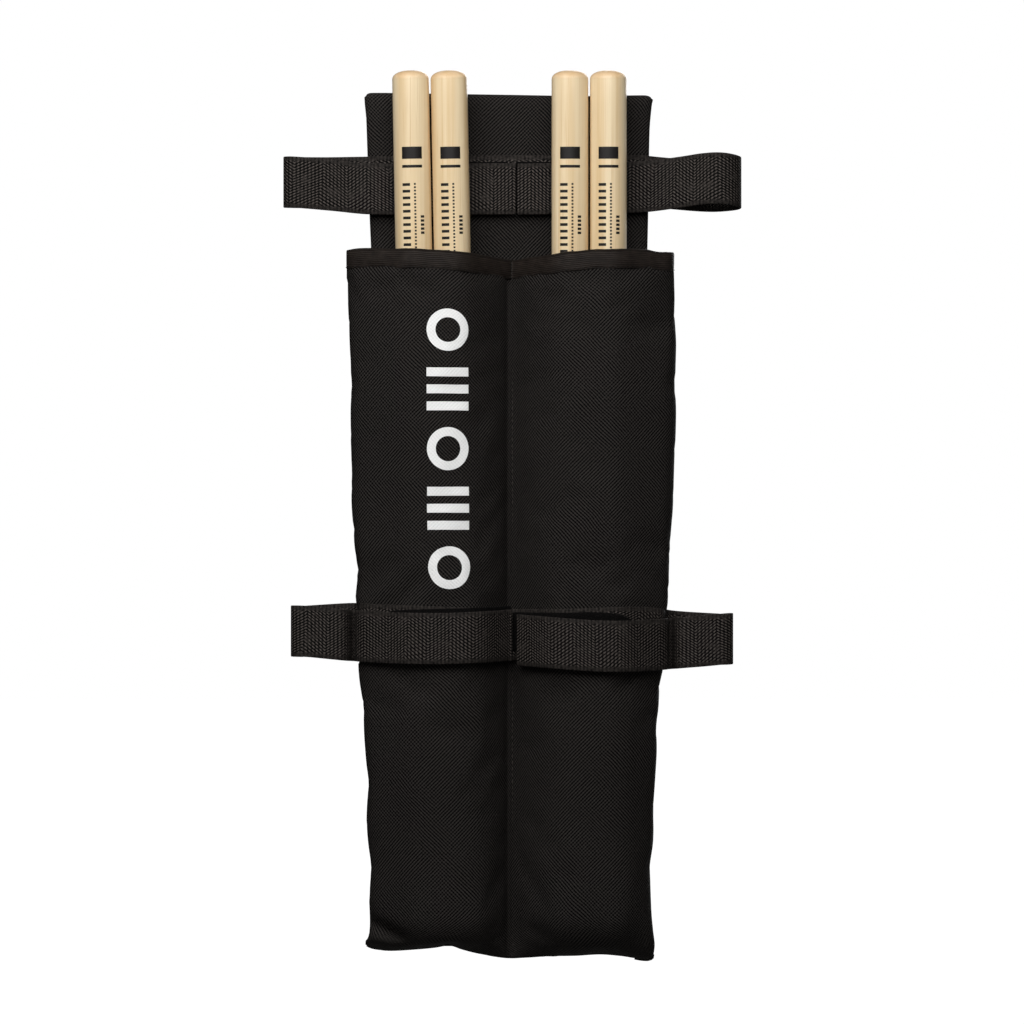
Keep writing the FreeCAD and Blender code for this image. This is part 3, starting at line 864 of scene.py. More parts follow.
@dataclass
class Seam:
    """A row of stitches as separate short bumps of thread."""

    name: str
    pitch: float = 2.8             # from one stitch to the next, mm
    stitch: float = 2.0            # length of one
    thread: float = 0.5            # thickness of the thread
    spots: list[tuple[Vector, Vector]] = field(default_factory=list)

    def run(self, points: Sequence[Vector]) -> None:
        """Adds stitches at the pitch.

        Args:
            points: The line that they follow, in metres.
        """
        left = self.pitch * MM / 2
        for start, end in zip(points, points[1:]):
            step = end - start
            length = step.length
            while left < length:
                self.spots.append((start + step * (left / length), step.normalized()))
                left += self.pitch * MM
            left -= length

    def build(self, material: bpy.types.Material) -> bpy.types.Object:
        """Makes the stitches.

        Args:
            material: Finish.

        Returns:
            All of them as one object.
        """
        bm = bmesh.new()
        for spot, along in self.spots:
            turn = along.to_track_quat("Z", "Y").to_matrix().to_4x4()
            size = Matrix.Diagonal((self.thread / 2, self.thread / 2, self.stitch / 2, 1.0))
            bmesh.ops.create_uvsphere(bm, u_segments=6, v_segments=5, radius=MM,
                                      matrix=Matrix.Translation(spot) @ turn @ size)
        return link(self.name, bm, material)


# ---- sub-assemblies -------------------------------------------------------------------------


def rise_by_x(trace: Trace, rows: Sequence[Point]) -> Callable[[float], float]:
    """The heights along a curve that a table of X and height gives."""
    return lambda distance: follow(rows, trace.read(distance)[0])


def stick_x(height: float) -> list[float]:
    """X of the four stick axes at a height, from left to right, mm."""
    shift = math.tan(LEAN) * (BUTT_HEIGHT - height)
    return [BUTT_X[0] + shift, BUTT_X[1] + shift, BUTT_X[2], BUTT_X[3]]


def pair_x(side: Side, height: float) -> Point:
    """X of a pocket's inner and outer stick axes. Those on the right are given mirrored, mm."""
    axes = stick_x(height)
    return (axes[1], axes[0]) if side is Side.LEFT else (-axes[2], -axes[3])


# X, height of the sewn bottom edge
BOTTOM_LINE: Sequence[Point] = (
    (-73, 7.0), (-70, 5.4), (-64, 4.0), (-56, 4.0), (-46, 4.6), (-38, 5.3), (-31, 6.2),
    (-25, 4.4), (-16, 2.2), (-8, 0.6), (0, 0.2), (8, 0.6), (18, 1.2), (32, 1.3), (44, 1.8),
    (54, 0.9), (62, -0.3), (68, -0.4), (70.5, 1.2))


def bottom_rise(x: float, height: float) -> float:
    """How far the uneven bottom edge lifts a point of the cloth above its level, mm."""
    return follow(BOTTOM_LINE, x) * (1 - ease(height, 0.0, 12.0))


@dataclass
class PocketFront:
    """The two pockets: one padded front, drawn over the sticks and sewn down between them."""

    finishes: Finishes
    columns: int = 112             # faces across
    round_rows: int = 16           # faces up the rounding above the bottom seam
    straight_rows: int = 98
    bottom_round: float = 22.0     # height over which they fill out from that seam
    bottom_depth: float = 4.4      # at the seam, in front of the rear face
    bottom_cloth: float = 40.0     # length of the cloth over that rounding
    depth: float = 34.6            # crowns in front of the rear face
    side: float = 9.3              # roll of the cloth at the sides
    side_bottom: float = 2.1       # the same at the bottom seam
    fullness: float = 3.2          # how far forward the foam holds that roll
    rear: float = 0.6              # the roll stops in front of the rear face
    seam_depth: float = 10.7       # bottom of the centre seam's valley, from the rear face
    seam_least: float = 0.5        # the seam's valley under the crowns, at the bottom
    seam_columns: Sequence[float] = (0.0, 0.6, 1.2, 1.8, 2.5, 3.3, 4.4)   # mm from the seam
    seam_draw: float = 1.5         # how far the centre seam draws the cloth in
    lap_rise: float = 0.45         # how far the lapped edge beside it stands up
    fold_line: tuple[Point, Point] = ((-69.0, 19.5), (-51.0, 10.5))   # X, height of both ends
    fold_dent: float = 5.5         # depth of the corner fold
    fold_tip: float = 2.2          # how far its tip comes forward
    front_only: float = -4.6       # cloth behind this Y isn't part of the front
    binding_rise: float = 9.2      # how far the binding reaches down from the mouth
    mouth_level: float = MOUTH_HEIGHT - 0.01       # where the binding is laid on
    hem: float = 9.0               # sewn under the binding, down from the mouth
    strap_sewn: float = 15.0       # sewn under the strap, each side of its middle
    strap_hold: Point = (11.5, 15.5)   # there its hold on the side rolls starts to go, and ends
    smooth_middle: float = 158.0   # of the height over which the strap keeps the cloth smooth
    side_sewn: float = 0.93        # share of the way round past which the cloth is sewn down
    # height above the bottom edge, half width
    edges: dict[Side, Sequence[Point]] = field(default_factory=lambda: {
        Side.LEFT: ((0, 73.0), (7, 72.7), (14, 71.0), (22, 71.0), (30, 71.4), (38, 71.2),
                    (47, 71.3), (57, 72.1), (67, 72.9), (77, 72.9), (87, 72.6), (97, 73.3),
                    (107, 73.9), (117, 74.3), (127, 74.6), (136, 75.3), (144, 76.1), (178, 77.6),
                    (186, 77.2), (196, 77.9), (206, 79.2), (216, 79.6), (226, 80.3), (240, 80.4),
                    (255, 80.6), (270, 80.9), (285, 80.8), (296, 80.7), (306, 81.0), (315, 81.2),
                    (330, 81.5), (346, 81.9), (352, 81.7)),
        Side.RIGHT: ((0, 70.6), (7, 71.0), (14, 70.3), (22, 69.6), (30, 69.4), (38, 69.3),
                     (47, 69.6), (57, 70.7), (67, 71.1), (77, 71.3), (87, 71.7), (97, 72.0),
                     (107, 72.2), (117, 72.1), (127, 72.8), (136, 73.4), (144, 74.8), (178, 77.3),
                     (186, 77.6), (196, 78.2), (206, 78.8), (216, 79.6), (226, 80.4), (240, 81.0),
                     (255, 81.5), (270, 82.3), (285, 82.3), (296, 82.2), (306, 82.1), (315, 81.5),
                     (330, 80.8), (346, 80.1), (352, 79.9))})
    # middle of the height that both strands of the strap cover at the side
    held_height: dict[Side, float] = field(
        default_factory=lambda: {Side.LEFT: 162.0, Side.RIGHT: 158.5})
    # X, height of the mouth, which comes in from its level over the height from mouth_fade
    mouth_fade: float = 300.0
    mouth_line: Sequence[Point] = (
        (-81, 351.3), (-72, 351.7), (-45, 351.3), (-33, 350.6), (-21, 349.4), (-10, 347.6),
        (0, 346.2), (10, 347.5), (20, 348.6), (29, 350.0), (44, 351.0), (66, 351.2),
        (71, 350.3), (80, 350.0))

    def filled(self, height: float) -> float:
        """How far the rounding above the bottom seam has filled out at a height, 0 to 1."""
        return math.sqrt(1 - max(0.0, 1 - height / self.bottom_round)**2)

    def circles(self, side: Side, height: float) -> list[Circle]:
        """Finds what one pocket is drawn over.

        Args:
            side: The pocket. The right one is given mirrored to the left.
            height: Above the bottom edge, mm.

        Returns:
            The circles from the centre seam to the panel's edge.
        """
        full = self.filled(height)
        held = 1 - ease(abs(height - self.held_height[side]), *self.strap_hold)
        free_depth = self.bottom_depth + (self.depth - self.bottom_depth) * full
        depth = free_depth + (HELD_DEPTH - self.depth) * held
        crown = CROWN * depth / self.depth
        roll = self.side_bottom + (self.side - self.side_bottom) * full
        inner, outer = pair_x(side, height + (STRAP_HEIGHT - height) * held)
        width = follow(self.edges[side], height)
        valley = min(self.seam_depth, depth - self.seam_least)
        panel = BackPanel.half_width(side, height)
        free = (roll - width, -self.rear - roll - self.fullness * full, roll)
        edge = tuple(a + (b - a) * held for a, b in zip(free, SHOULDER))
        return [(0.0, -valley, 0.0), (inner, crown - depth, crown), (outer, crown - depth, crown),
                edge, (-panel, -self.rear, 0.0)]

    def row_height(self, row: int) -> tuple[float, float]:
        """Places a row of the grid.

        Args:
            row: Counted from the bottom seam.

        Returns:
            Its height, and its texture position up the cloth.
        """
        if row <= self.round_rows:
            share = row / self.round_rows
            height = self.bottom_round * (1 - math.cos(share * math.pi / 2))
            return height, self.bottom_round - self.bottom_cloth * (1 - share)
        share = (row - self.round_rows) / self.straight_rows
        height = self.bottom_round + (MOUTH_HEIGHT - self.bottom_round) * share
        return height, height

    def lift(self, x: float, height: float) -> float:
        """How far the uneven bottom and mouth lines move a point up from its row."""
        up = follow(self.mouth_line, x) - MOUTH_HEIGHT
        return up * ease(height, self.mouth_fade, MOUTH_HEIGHT) + bottom_rise(x, height)

    def spot(self, side: Side, share: float, height: float, inset: float = 0.0) -> Spot:
        """Finds a point of the pocket front.

        Args:
            side: Left or right of the centre seam.
            share: 0 at the centre seam, 1 where the cloth ends behind the side roll.
            height: Of the row, mm.
            inset: How far inside the outer face, mm.

        Returns:
            The point, with its texture position.
        """
        trace = Trace(belt(self.circles(side, height), -inset))
        distance = share * trace.length
        x, y = trace.read(distance)
        x *= -side.value
        return Spot(place(x, y, height + self.lift(x, height)), (side.value * distance, height))

    def groove(self, x: float) -> float:
        """How far the centre seam draws the cloth in beside its lapped edge, mm."""
        return self.seam_draw * hump(x, -2.3, 0.9) - self.lap_rise * hump(x, 0.4, 1.0)

    def corner_fold(self, x: float, height: float) -> float:
        """Shapes the left bottom corner, whose tip folds forward.

        Args:
            x: Of a point of the cloth.
            height: The same.

        Returns:
            How far the cloth lies in there, mm.
        """
        (x0, h0), (x1, h1) = self.fold_line
        length = math.hypot(x1 - x0, h1 - h0)
        along = ((x - x0) * (x1 - x0) + (height - h0) * (h1 - h0)) / length**2
        beyond = ((x - x0) * (h1 - h0) - (height - h0) * (x1 - x0)) / length
        reach = ease(along, -0.25, 0.1) * (1 - ease(along, 0.75, 1.15))
        dent = self.fold_dent * hump(beyond, 0.0, 2.0 if beyond < 0 else 3.2)
        return (dent - self.fold_tip * hump(beyond, 7.5, 3.4)) * reach

    def slack(self, spot: Vector) -> float:
        """Tells where the cloth is free to crumple.

        Args:
            spot: A point of it, in metres.

        Returns:
            0 beside a seam or a strap, and 1 well away from them.
        """
        height = spot.z / MM + ORIGIN_HEIGHT
        off_strap = ease(abs(height - self.smooth_middle), 20, 34)
        off_mouth = ease(MOUTH_HEIGHT - height, 8, 20)
        return off_strap * off_mouth * ease(abs(spot.x) / MM, 1.0, 8.0)

    def outer(self) -> bpy.types.Object:
        """The outer cloth, filled out between its seams."""
        half = self.columns // 2
        near_seam = len(self.seam_columns) - 1
        row_count = self.round_rows + self.straight_rows
        traces = {(side, row): Trace(belt(self.circles(side, self.row_height(row)[0]), 0.0))
                  for row in range(row_count + 1) for side in Side}

        def shape(column: int, row: int) -> Spot:
            """The outer cloth's grid, with narrow columns beside the centre seam.

            Args:
                column: Counted from the left.
                row: Counted from the bottom seam.

            Returns:
                Where that point of the grid goes.
            """
            side = Side.LEFT if column < half else Side.RIGHT
            step = abs(column - half)
            height, up = self.row_height(row)
            trace = traces[side, row]
            first = self.seam_columns[min(step, near_seam)]
            rest = max(0, step - near_seam) / (half - near_seam)
            distance = first + (trace.length - first) * rest
            x, y = trace.read(distance)
            x *= -side.value
            if row == 0:
                y = -PANEL_THICKNESS / 2
            seam = step <= near_seam or distance / trace.length > self.side_sewn
            strap = abs(height - STRAP_HEIGHT) < self.strap_sewn
            sewn = seam or strap or row <= 1 or height > MOUTH_HEIGHT - self.hem
            return Spot(place(x, y, height + self.lift(x, height)),
                        (side.value * distance, up), 1.0 if sewn else 0.0)

        cloth = cloth_sheet("pocket_front", self.columns, row_count, shape,
                            self.finishes.pocket)
        swell(cloth, pressure=5.0, cap=1.7, slack=0.006)

        crumple(cloth, 60.0, 0.7, self.slack)
        crumple(cloth, 17.0, 0.2, self.slack)
        for vert in cloth.data.vertices:
            x, height = vert.co.x / MM, vert.co.z / MM + ORIGIN_HEIGHT
            if vert.co.y / MM < self.front_only:
                vert.co.y += (self.groove(x) + self.corner_fold(x, height)) * MM
        cloth.data.update()
        thicken(cloth, 0.8, -1.0)
        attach(cloth, "bag")
        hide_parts("pocket_cloth", "pocket_foam_left", "pocket_foam_right")
        return cloth

    def inner(self) -> bpy.types.Object:
        """The lining inside the pockets."""
        half, rows = 48, 40
        low, high = 24.0, MOUTH_HEIGHT - 0.5

        def shape(column: int, row: int) -> Spot:
            """The lining's grid, which stops short of the seams.

            Args:
                column: Counted from the left.
                row: Counted from the bottom.

            Returns:
                Where that point of the grid goes.
            """
            side = Side.LEFT if column < half else Side.RIGHT
            share = 0.02 + 0.9 * (abs(column - half) / half)
            return self.spot(side, share, low + (high - low) * row / rows, WALL)

        lining = cloth_sheet("pocket_lining", 2 * half, rows, shape, self.finishes.lining,
                             flip=True)
        thicken(lining, 0.4, -1.0)
        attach(lining, "bag")
        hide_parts("pocket_lining")
        return lining

    def binding(self) -> bpy.types.Object:
        """The folded binding over the mouth."""
        half, rise, top = 90, self.binding_rise, 0.5
        # how far inside the outer face, how far below the mouth
        profile = [(-0.1, rise), (-0.4, rise - 0.4), (-0.45, rise / 2), (-0.45, 0.4),
                   (-0.2, -top * 0.6), (0.6, -top), (WALL / 2, -top * 1.25), (WALL - 0.4, -top),
                   (WALL + 0.4, -top * 0.4), (WALL + 0.6, 0.8), (WALL + 0.55, rise - 0.4),
                   (WALL + 0.3, rise)]

        def shape(column: int, row: int) -> Spot:
            """The binding's grid, with a slight ripple.

            Args:
                column: Counted from the left.
                row: Counted from the front edge.

            Returns:
                Where that point of the grid goes.
            """
            side = Side.LEFT if column < half else Side.RIGHT
            share = abs(column - half) / half
            inset, drop = profile[row]
            spot = self.spot(side, share, self.mouth_level, inset)
            ripple = noise.noise(Vector((spot.weave[0] * 0.11, inset * 0.3, 4.0)))
            spot.at.z -= (drop + 0.35 * ripple) * MM
            spot.weave = (spot.weave[0], 2.0 * row)
            return spot

        binding = cloth_sheet("mouth_binding", 2 * half, len(profile) - 1, shape,
                              self.finishes.binding)
        crumple(binding, 9.0, 0.35, lambda spot: 1.0)
        thicken(binding, 0.45, -1.0)
        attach(binding, "bag")
        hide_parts("mouth_binding")
        return binding

    def binding_stitches(self) -> bpy.types.Object:
        """The row of stitches along the binding's lower edge."""
        seam = Seam("binding_stitches", pitch=2.7, stitch=1.7, thread=0.42)
        steps = 120
        line = []
        for side, order in ((Side.LEFT, range(steps, 0, -1)), (Side.RIGHT, range(1, steps + 1))):
            for step in order:
                share = step / steps * self.side_sewn
                spot = self.spot(side, share, self.mouth_level, -0.62)
                spot.at.z -= (self.binding_rise - 0.9) * MM
                line.append(spot.at)
        seam.run(line)
        stitches = seam.build(self.finishes.dark_thread)
        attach(stitches, "bag")
        return stitches

    def centre_seam(self) -> bpy.types.Object:
        """The stitches down the valley between the pockets."""
        seam = Seam("centre_seam_stitches", pitch=3.1, stitch=2.0, thread=0.5)
        strap = 14.5                   # half the stretch under the lower strap
        for low, high in ((6.0, STRAP_HEIGHT - strap), (STRAP_HEIGHT + strap, MOUTH_HEIGHT - 14)):
            steps = int((high - low) / 2)
            points = []
            for step in range(steps + 1):
                height = low + (high - low) * step / steps
                valley = self.circles(Side.LEFT, height)[0][1]
                sway = 0.4 + 0.25 * math.sin(height / 23.0)
                points.append(place(sway, valley - 0.6, height + self.lift(0.0, height)))
            seam.run(points)
        stitches = seam.build(self.finishes.thread)
        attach(stitches, "bag")
        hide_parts("centre_seam_thread")
        return stitches

    def build(self) -> list[bpy.types.Object]:
        """Makes every piece of the pockets."""
        return [self.outer(), self.inner(), self.binding(), self.binding_stitches(),
                self.centre_seam()]


@dataclass
class BackPanel:
    """The padded panel behind the pockets: two cloths sewn round their edge over foam."""

    finishes: Finishes
    columns: int = 48              # faces across the front, and as many across the rear
    rows: int = 96                 # faces up, between the rounded edges
    half: float = 70.0             # half width at the top
    edge_round: float = 4.6        # how far in from the seam the pad reaches its thickness
    edge_steps: Sequence[float] = (0.0, 0.5, 1.4, 2.8, 4.6)
    straight: Point = (8.0, 416.0)     # heights between which the rows are even
    top_inset: float = 0.3         # the rows below the top edge lie this much lower
    skin: float = 0.2              # room for the cloth to swell, front and rear
    seam: float = 2.0              # the cloth is sewn this far in from the edge
    covered: Point = (369.0, 402.0)    # heights between which the strap holds the cloth
    rear_weave: float = 200.0      # texture position of the rear cloth

    @staticmethod
    def half_width(side: Side, height: float) -> float:
        """Reads the panel's outline.

        Args:
            side: Left or right half.
            height: Above the bottom edge, mm.

        Returns:
            Half width there, mm.
        """
        rows = {Side.LEFT: ((0, 61.0), (340, 69.6), (372, 70.9), (408, 72.1), (418, 72.5),
                            (423, 73.1), (428, 73.3)),
                Side.RIGHT: ((0, 61.0), (340, 67.0), (372, 67.7), (410, 68.3), (420, 69.0),
                             (428, 70.0))}[side]
        return follow(rows, height)

    @staticmethod
    def top(x: float) -> float:
        """Height of the top edge, which runs a little uneven."""
        return follow(((-73, 429.2), (-70, 429.9), (-40, 429.5), (0, 428.9), (40, 428.3),
                       (66, 428.7), (69, 428.0)), x)

    def crown(self, inward: float) -> float:
        """Share of its thickness that the pad has, this far in from the seam."""
        return math.sqrt(1 - max(0.0, 1 - inward / self.edge_round)**2)

    def build(self) -> list[bpy.types.Object]:
        """Makes the panel."""
        low, high = self.straight
        heights = [*self.edge_steps]
        heights += [low + (high - low) * i / self.rows for i in range(self.rows + 1)]
        heights += [PANEL_HEIGHT - self.top_inset - step for step in reversed(self.edge_steps[1:])]
        heights.append(PANEL_HEIGHT)
        middle = PANEL_THICKNESS / 2
        sines = [math.sin((2 * i / self.columns - 1) * math.pi / 2)
                 for i in range(self.columns + 1)]
        round_x = Trace([(self.half * a, middle * self.crown((1 - abs(a)) * self.half))
                         for a in sines]).marks
        round_up = Trace([(h, middle * self.crown(min(h, PANEL_HEIGHT - h)))
                          for h in heights]).marks

        def shape(column: int, row: int) -> Spot:
            """The panel's grid: the front from left to right, then the rear back again.

            Args:
                column: Counted from the front's left edge.
                row: Counted from the bottom.

            Returns:
                Where that point of the grid goes.
            """
            rear = column >= self.columns
            step = column - self.columns if rear else column
            across = -sines[step] if rear else sines[step]
            side = Side.LEFT if across < 0 else Side.RIGHT
            level = heights[row]
            x = across * self.half_width(side, level)
            corner = ease(level, 424.0, PANEL_HEIGHT) * ease(abs(across), 0.975, 1.0)
            height = level * self.top(x) / PANEL_HEIGHT - 1.4 * corner + bottom_rise(x, level)
            height += 0.8 * (1 - ease(level, 0.0, 6.0))
            inward = min((1 - abs(across)) * self.half, level, PANEL_HEIGHT - level)
            y = -middle + (1 if rear else -1) * (middle - self.skin) * self.crown(inward)
            bare = level < self.covered[0] or level > self.covered[1]
            free = bare and not rear and inward > self.seam
            return Spot(place(x, y, height), (round_x[step] + (self.rear_weave if rear else 0),
                                              round_up[row]), 0.0 if free else 1.0)

        panel = cloth_sheet("back_panel", 2 * self.columns, len(heights) - 1, shape,
                            self.finishes.panel, closed=True)
        swell(panel, pressure=3.0, cap=0.5, slack=0.002)
        crumple(panel, 40.0, 0.4, lambda spot: ease(-spot.y / MM, 3.0, 6.5))
        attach(panel, "bag")
        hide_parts("rear_cloth", "front_cloth", "panel_foam")
        return [panel]


@dataclass
class Strand:
    """A length of webbing or tape that follows a plane curve."""

    trace: Trace
    rise: Callable[[float], float]     # height of its middle at a distance along it, mm
    width: float = WEBBING_WIDTH
    thickness: float = WEBBING_THICKNESS
    start: float = 0.0                 # texture position of its first end
    segment: float = 1.6               # length of its faces
    rows: int = 8                      # faces across

    def build(self, name: str, material: bpy.types.Material) -> bpy.types.Object:
        """Makes the strand, with even segments along it.

        Args:
            name: Name of the piece.
            material: Finish.

        Returns:
            The object.
        """
        steps = max(4, round(self.trace.length / self.segment))

        def shape(column: int, row: int) -> Spot:
            """The strand's grid, whose edges flutter a little.

            Args:
                column: Counted from the start.
                row: Counted from the lower edge.

            Returns:
                Where that point of the grid goes.
            """
            distance = self.trace.length * column / steps
            x, y = self.trace.read(distance)
            across = self.width * (row / self.rows - 0.5)
            flutter = 0.12 * noise.noise(Vector((distance * 0.06, row * 0.2, self.start)))
            height = self.rise(distance) + across + flutter
            return Spot(place(x, y, height), (self.start + distance, across))

        strand = cloth_sheet(name, steps, self.rows, shape, material)
        thicken(strand, self.thickness, 0.0, edge=0.4)
        return strand

    def stitches(self, seam: Seam, low: float, high: float) -> None:
        """Adds two rows of stitches along the strand's edges.

        Args:
            seam: Takes the stitches.
            low: Distance at which the rows start.
            high: Distance at which they end.
        """
        steps = int((high - low) / 2)
        for edge in (-1, 1):
            line = []
            for step in range(steps + 1):
                distance = low + (high - low) * step / steps
                x, y = self.trace.read(distance)
                nx, ny = self.trace.outward(distance)
                height = self.rise(distance) + edge * (self.width / 2 - THREAD_INSET)
                line.append(place(x + nx * THREAD_LIFT, y + ny * THREAD_LIFT, height))
            seam.run(line)


@dataclass
class LowerStrap:
    """The strap sewn across the pockets, whose ends fold round and close over the front."""

    finishes: Finishes
    pockets: PocketFront
    far_bend: Circle = (-81.1, -12.0, -6.5)   # where the sewn strand turns outwards
    near_bend: Circle = (-78.6, -10.8, -5.5)  # the crease in the near strand
    bulge: Circle = (-87.0, -13.5, 1.5)       # and its bulge outside the crease
    valley: Circle = (0.0, -18.8, -6.0)       # where it sinks in between the pockets
    pressed: float = 1.6           # how much closer the strands lie at the side than over tape
    fold: Point = (-103.3, -12.45)     # middle of the left loop's fold
    fold_radius: float = 5.0       # inside of it
    sewn_reach: float = 70.0       # X at which the stitches end
    pile_and_shade_ends: Point = (-0.4, -66.0)       # X of the left pile tape's ends, mirrored on the right; there the inner end reaches into the slot between the flaps' free ends, where the dark tape is painted shade
    hook_ends: Point = (-17.0, -52.0)      # and of the hook tape under the flap
    # X of the flaps' free ends
    ends: dict[Side, float] = field(default_factory=lambda: {Side.LEFT: 0.0, Side.RIGHT: 2.6})
    # X, height of the strand's middle
    base_rise: Sequence[Point] = (
        (-104, 162.5), (-80, 164.0), (-66, 163.5), (-30, 162.2), (0, 161.0), (30, 161.4),
        (66, 162.2), (80, 160.2), (104, 158.6))
    flap_rise: dict[Side, Sequence[Point]] = field(default_factory=lambda: {
        Side.LEFT: ((-110, 163.0), (-100, 162.6), (-78, 160.5), (-40, 159.3), (-12, 160.1),
                    (0, 160.8)),
        Side.RIGHT: ((0, 158.6), (24, 156.9), (44, 155.6), (68, 155.9), (90, 157.6),
                     (110, 159.4))})
    # the pile tape stands a little above the flap, so that its dark edge shows along the flap's
    # top: a real tape, placed there as painted shade for the groove above the flap
    pile_and_shade_rise: dict[Side, Sequence[Point]] = field(default_factory=lambda: {
        Side.LEFT: ((-66, 162.0), (-58, 163.6), (-40, 164.4), (-12, 165.2), (0, 165.7)),
        Side.RIGHT: ((0, 162.6), (24, 162.6), (44, 162.8), (54, 161.4), (64, 156.5))})

    def crowns(self, side: Side) -> list[Circle]:
        """Left-hand circles over the two crowns of a pocket."""
        return [(x, CROWN - HELD_DEPTH, CROWN) for x in pair_x(side, STRAP_HEIGHT)]

    def sewn_side(self, side: Side) -> list[Circle]:
        """What the sewn strand is drawn over, from the valley to its bend."""
        return self.crowns(side) + [SHOULDER, self.far_bend]

    def near_side(self, side: Side) -> list[Circle]:
        """What the near strand is drawn over, from the valley to its bulge."""
        x, y, radius = SHOULDER
        return self.crowns(side) + [(x, y, radius - self.pressed), self.near_bend, self.bulge]

    def mirrored(self, circles: Sequence[Circle]) -> list[Circle]:
        """The same circles on the other side."""
        return [(-x, y, r) for x, y, r in circles]

    def build(self) -> list[bpy.types.Object]:
        """Makes the sewn strand, both flaps, the tapes and the stitches."""
        x, y = self.fold
        far = (x, y, -self.fold_radius - WEBBING_THICKNESS)
        near = (x, y, self.fold_radius - FOLD_DROP)
        left, right = (self.sewn_side(side) + [far] for side in Side)
        trace = Trace(belt(self.mirrored(right)[::-1] + [self.valley] + left, BASE_LEVEL))
        base = Strand(trace, rise_by_x(trace, self.base_rise), start=-trace.length)
        strap = base.build("lower_strap", self.finishes.webbing)
        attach(strap, "bag")
        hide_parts("lower_strap")

        seam = Seam("lower_strap_stitches", pitch=2.9, stitch=1.9)
        base.stitches(seam, trace.where(self.sewn_reach), trace.where(-self.sewn_reach))
        thread = seam.build(self.finishes.thread)
        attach(thread, "bag")
        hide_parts("lower_strap_thread")

        pieces = [strap, thread]
        for side in Side:
            middle = [self.mirrored(self.crowns(side.other))[0], self.valley]
            pieces += self.flap(side, middle + self.sewn_side(side) + [far],
                                middle + self.near_side(side) + [near])
        return pieces

    def flap(self, side: Side, sewn: list[Circle],
             loose: list[Circle]) -> list[bpy.types.Object]:
        """Makes one flap from its fold to its free end, with the closure tapes under it.

        Args:
            side: The flap. The right one is worked out as the left one and mirrored.
            sewn: What the sewn strand is drawn over, from the centre to the fold.
            loose: What the near strand is drawn over, likewise.

        Returns:
            The flap, the pile tape and the hook tape.
        """
        sign, body = -side.value, f"lower_{side.word}_flap"
        x, y = self.fold
        web = Trace(belt(loose, FLAP_LEVEL))
        fold = Trace(fold_ring(x, y, self.fold_radius, belt(sewn, BASE_LEVEL)[-1],
                               web.points[-1]))
        back = web.cut(web.length, web.where(self.ends[side] * sign), 400)
        path = Trace([(px * sign, py) for px, py in fold.points + back])
        rises = self.flap_rise[side]
        loop_end = follow(self.base_rise, x * sign)

        def rise(distance: float) -> float:
            """The flap's height, which the sewn strand gives where the fold starts."""
            turned = ease(distance, 0.0, fold.length)
            return loop_end + (follow(rises, path.read(distance)[0]) - loop_end) * turned

        flap = Strand(path, rise).build(body + "_webbing", self.finishes.webbing)
        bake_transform(flap)
        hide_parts(body, f"lower_{side.word}_fold")
        pieces = [flap]
        # the pile tape's raised edge and its inner end are painted shade for the groove above the
        # flap and the slot between the flaps
        for kind, level, (inner, outer), heights, rider, finish in (
                ("pile", PILE_LEVEL, self.pile_and_shade_ends, self.pile_and_shade_rise[side], "bag",
                 self.finishes.pile),
                ("hook", HOOK_LEVEL, self.hook_ends, rises, body, self.finishes.hook)):
            line = Trace(belt(sewn, level))
            stretch = line.cut(line.where(inner), line.where(outer), 60)
            cut = Trace([(px * sign, py) for px, py in stretch])
            tape = Strand(cut, rise_by_x(cut, heights), TAPE_WIDTH, TAPE_THICKNESS)
            piece = tape.build(f"lower_{side.word}_{kind}_strip", finish)
            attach(piece, rider)
            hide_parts(f"lower_{side.word}_{kind}_tape")
            pieces.append(piece)
        return pieces


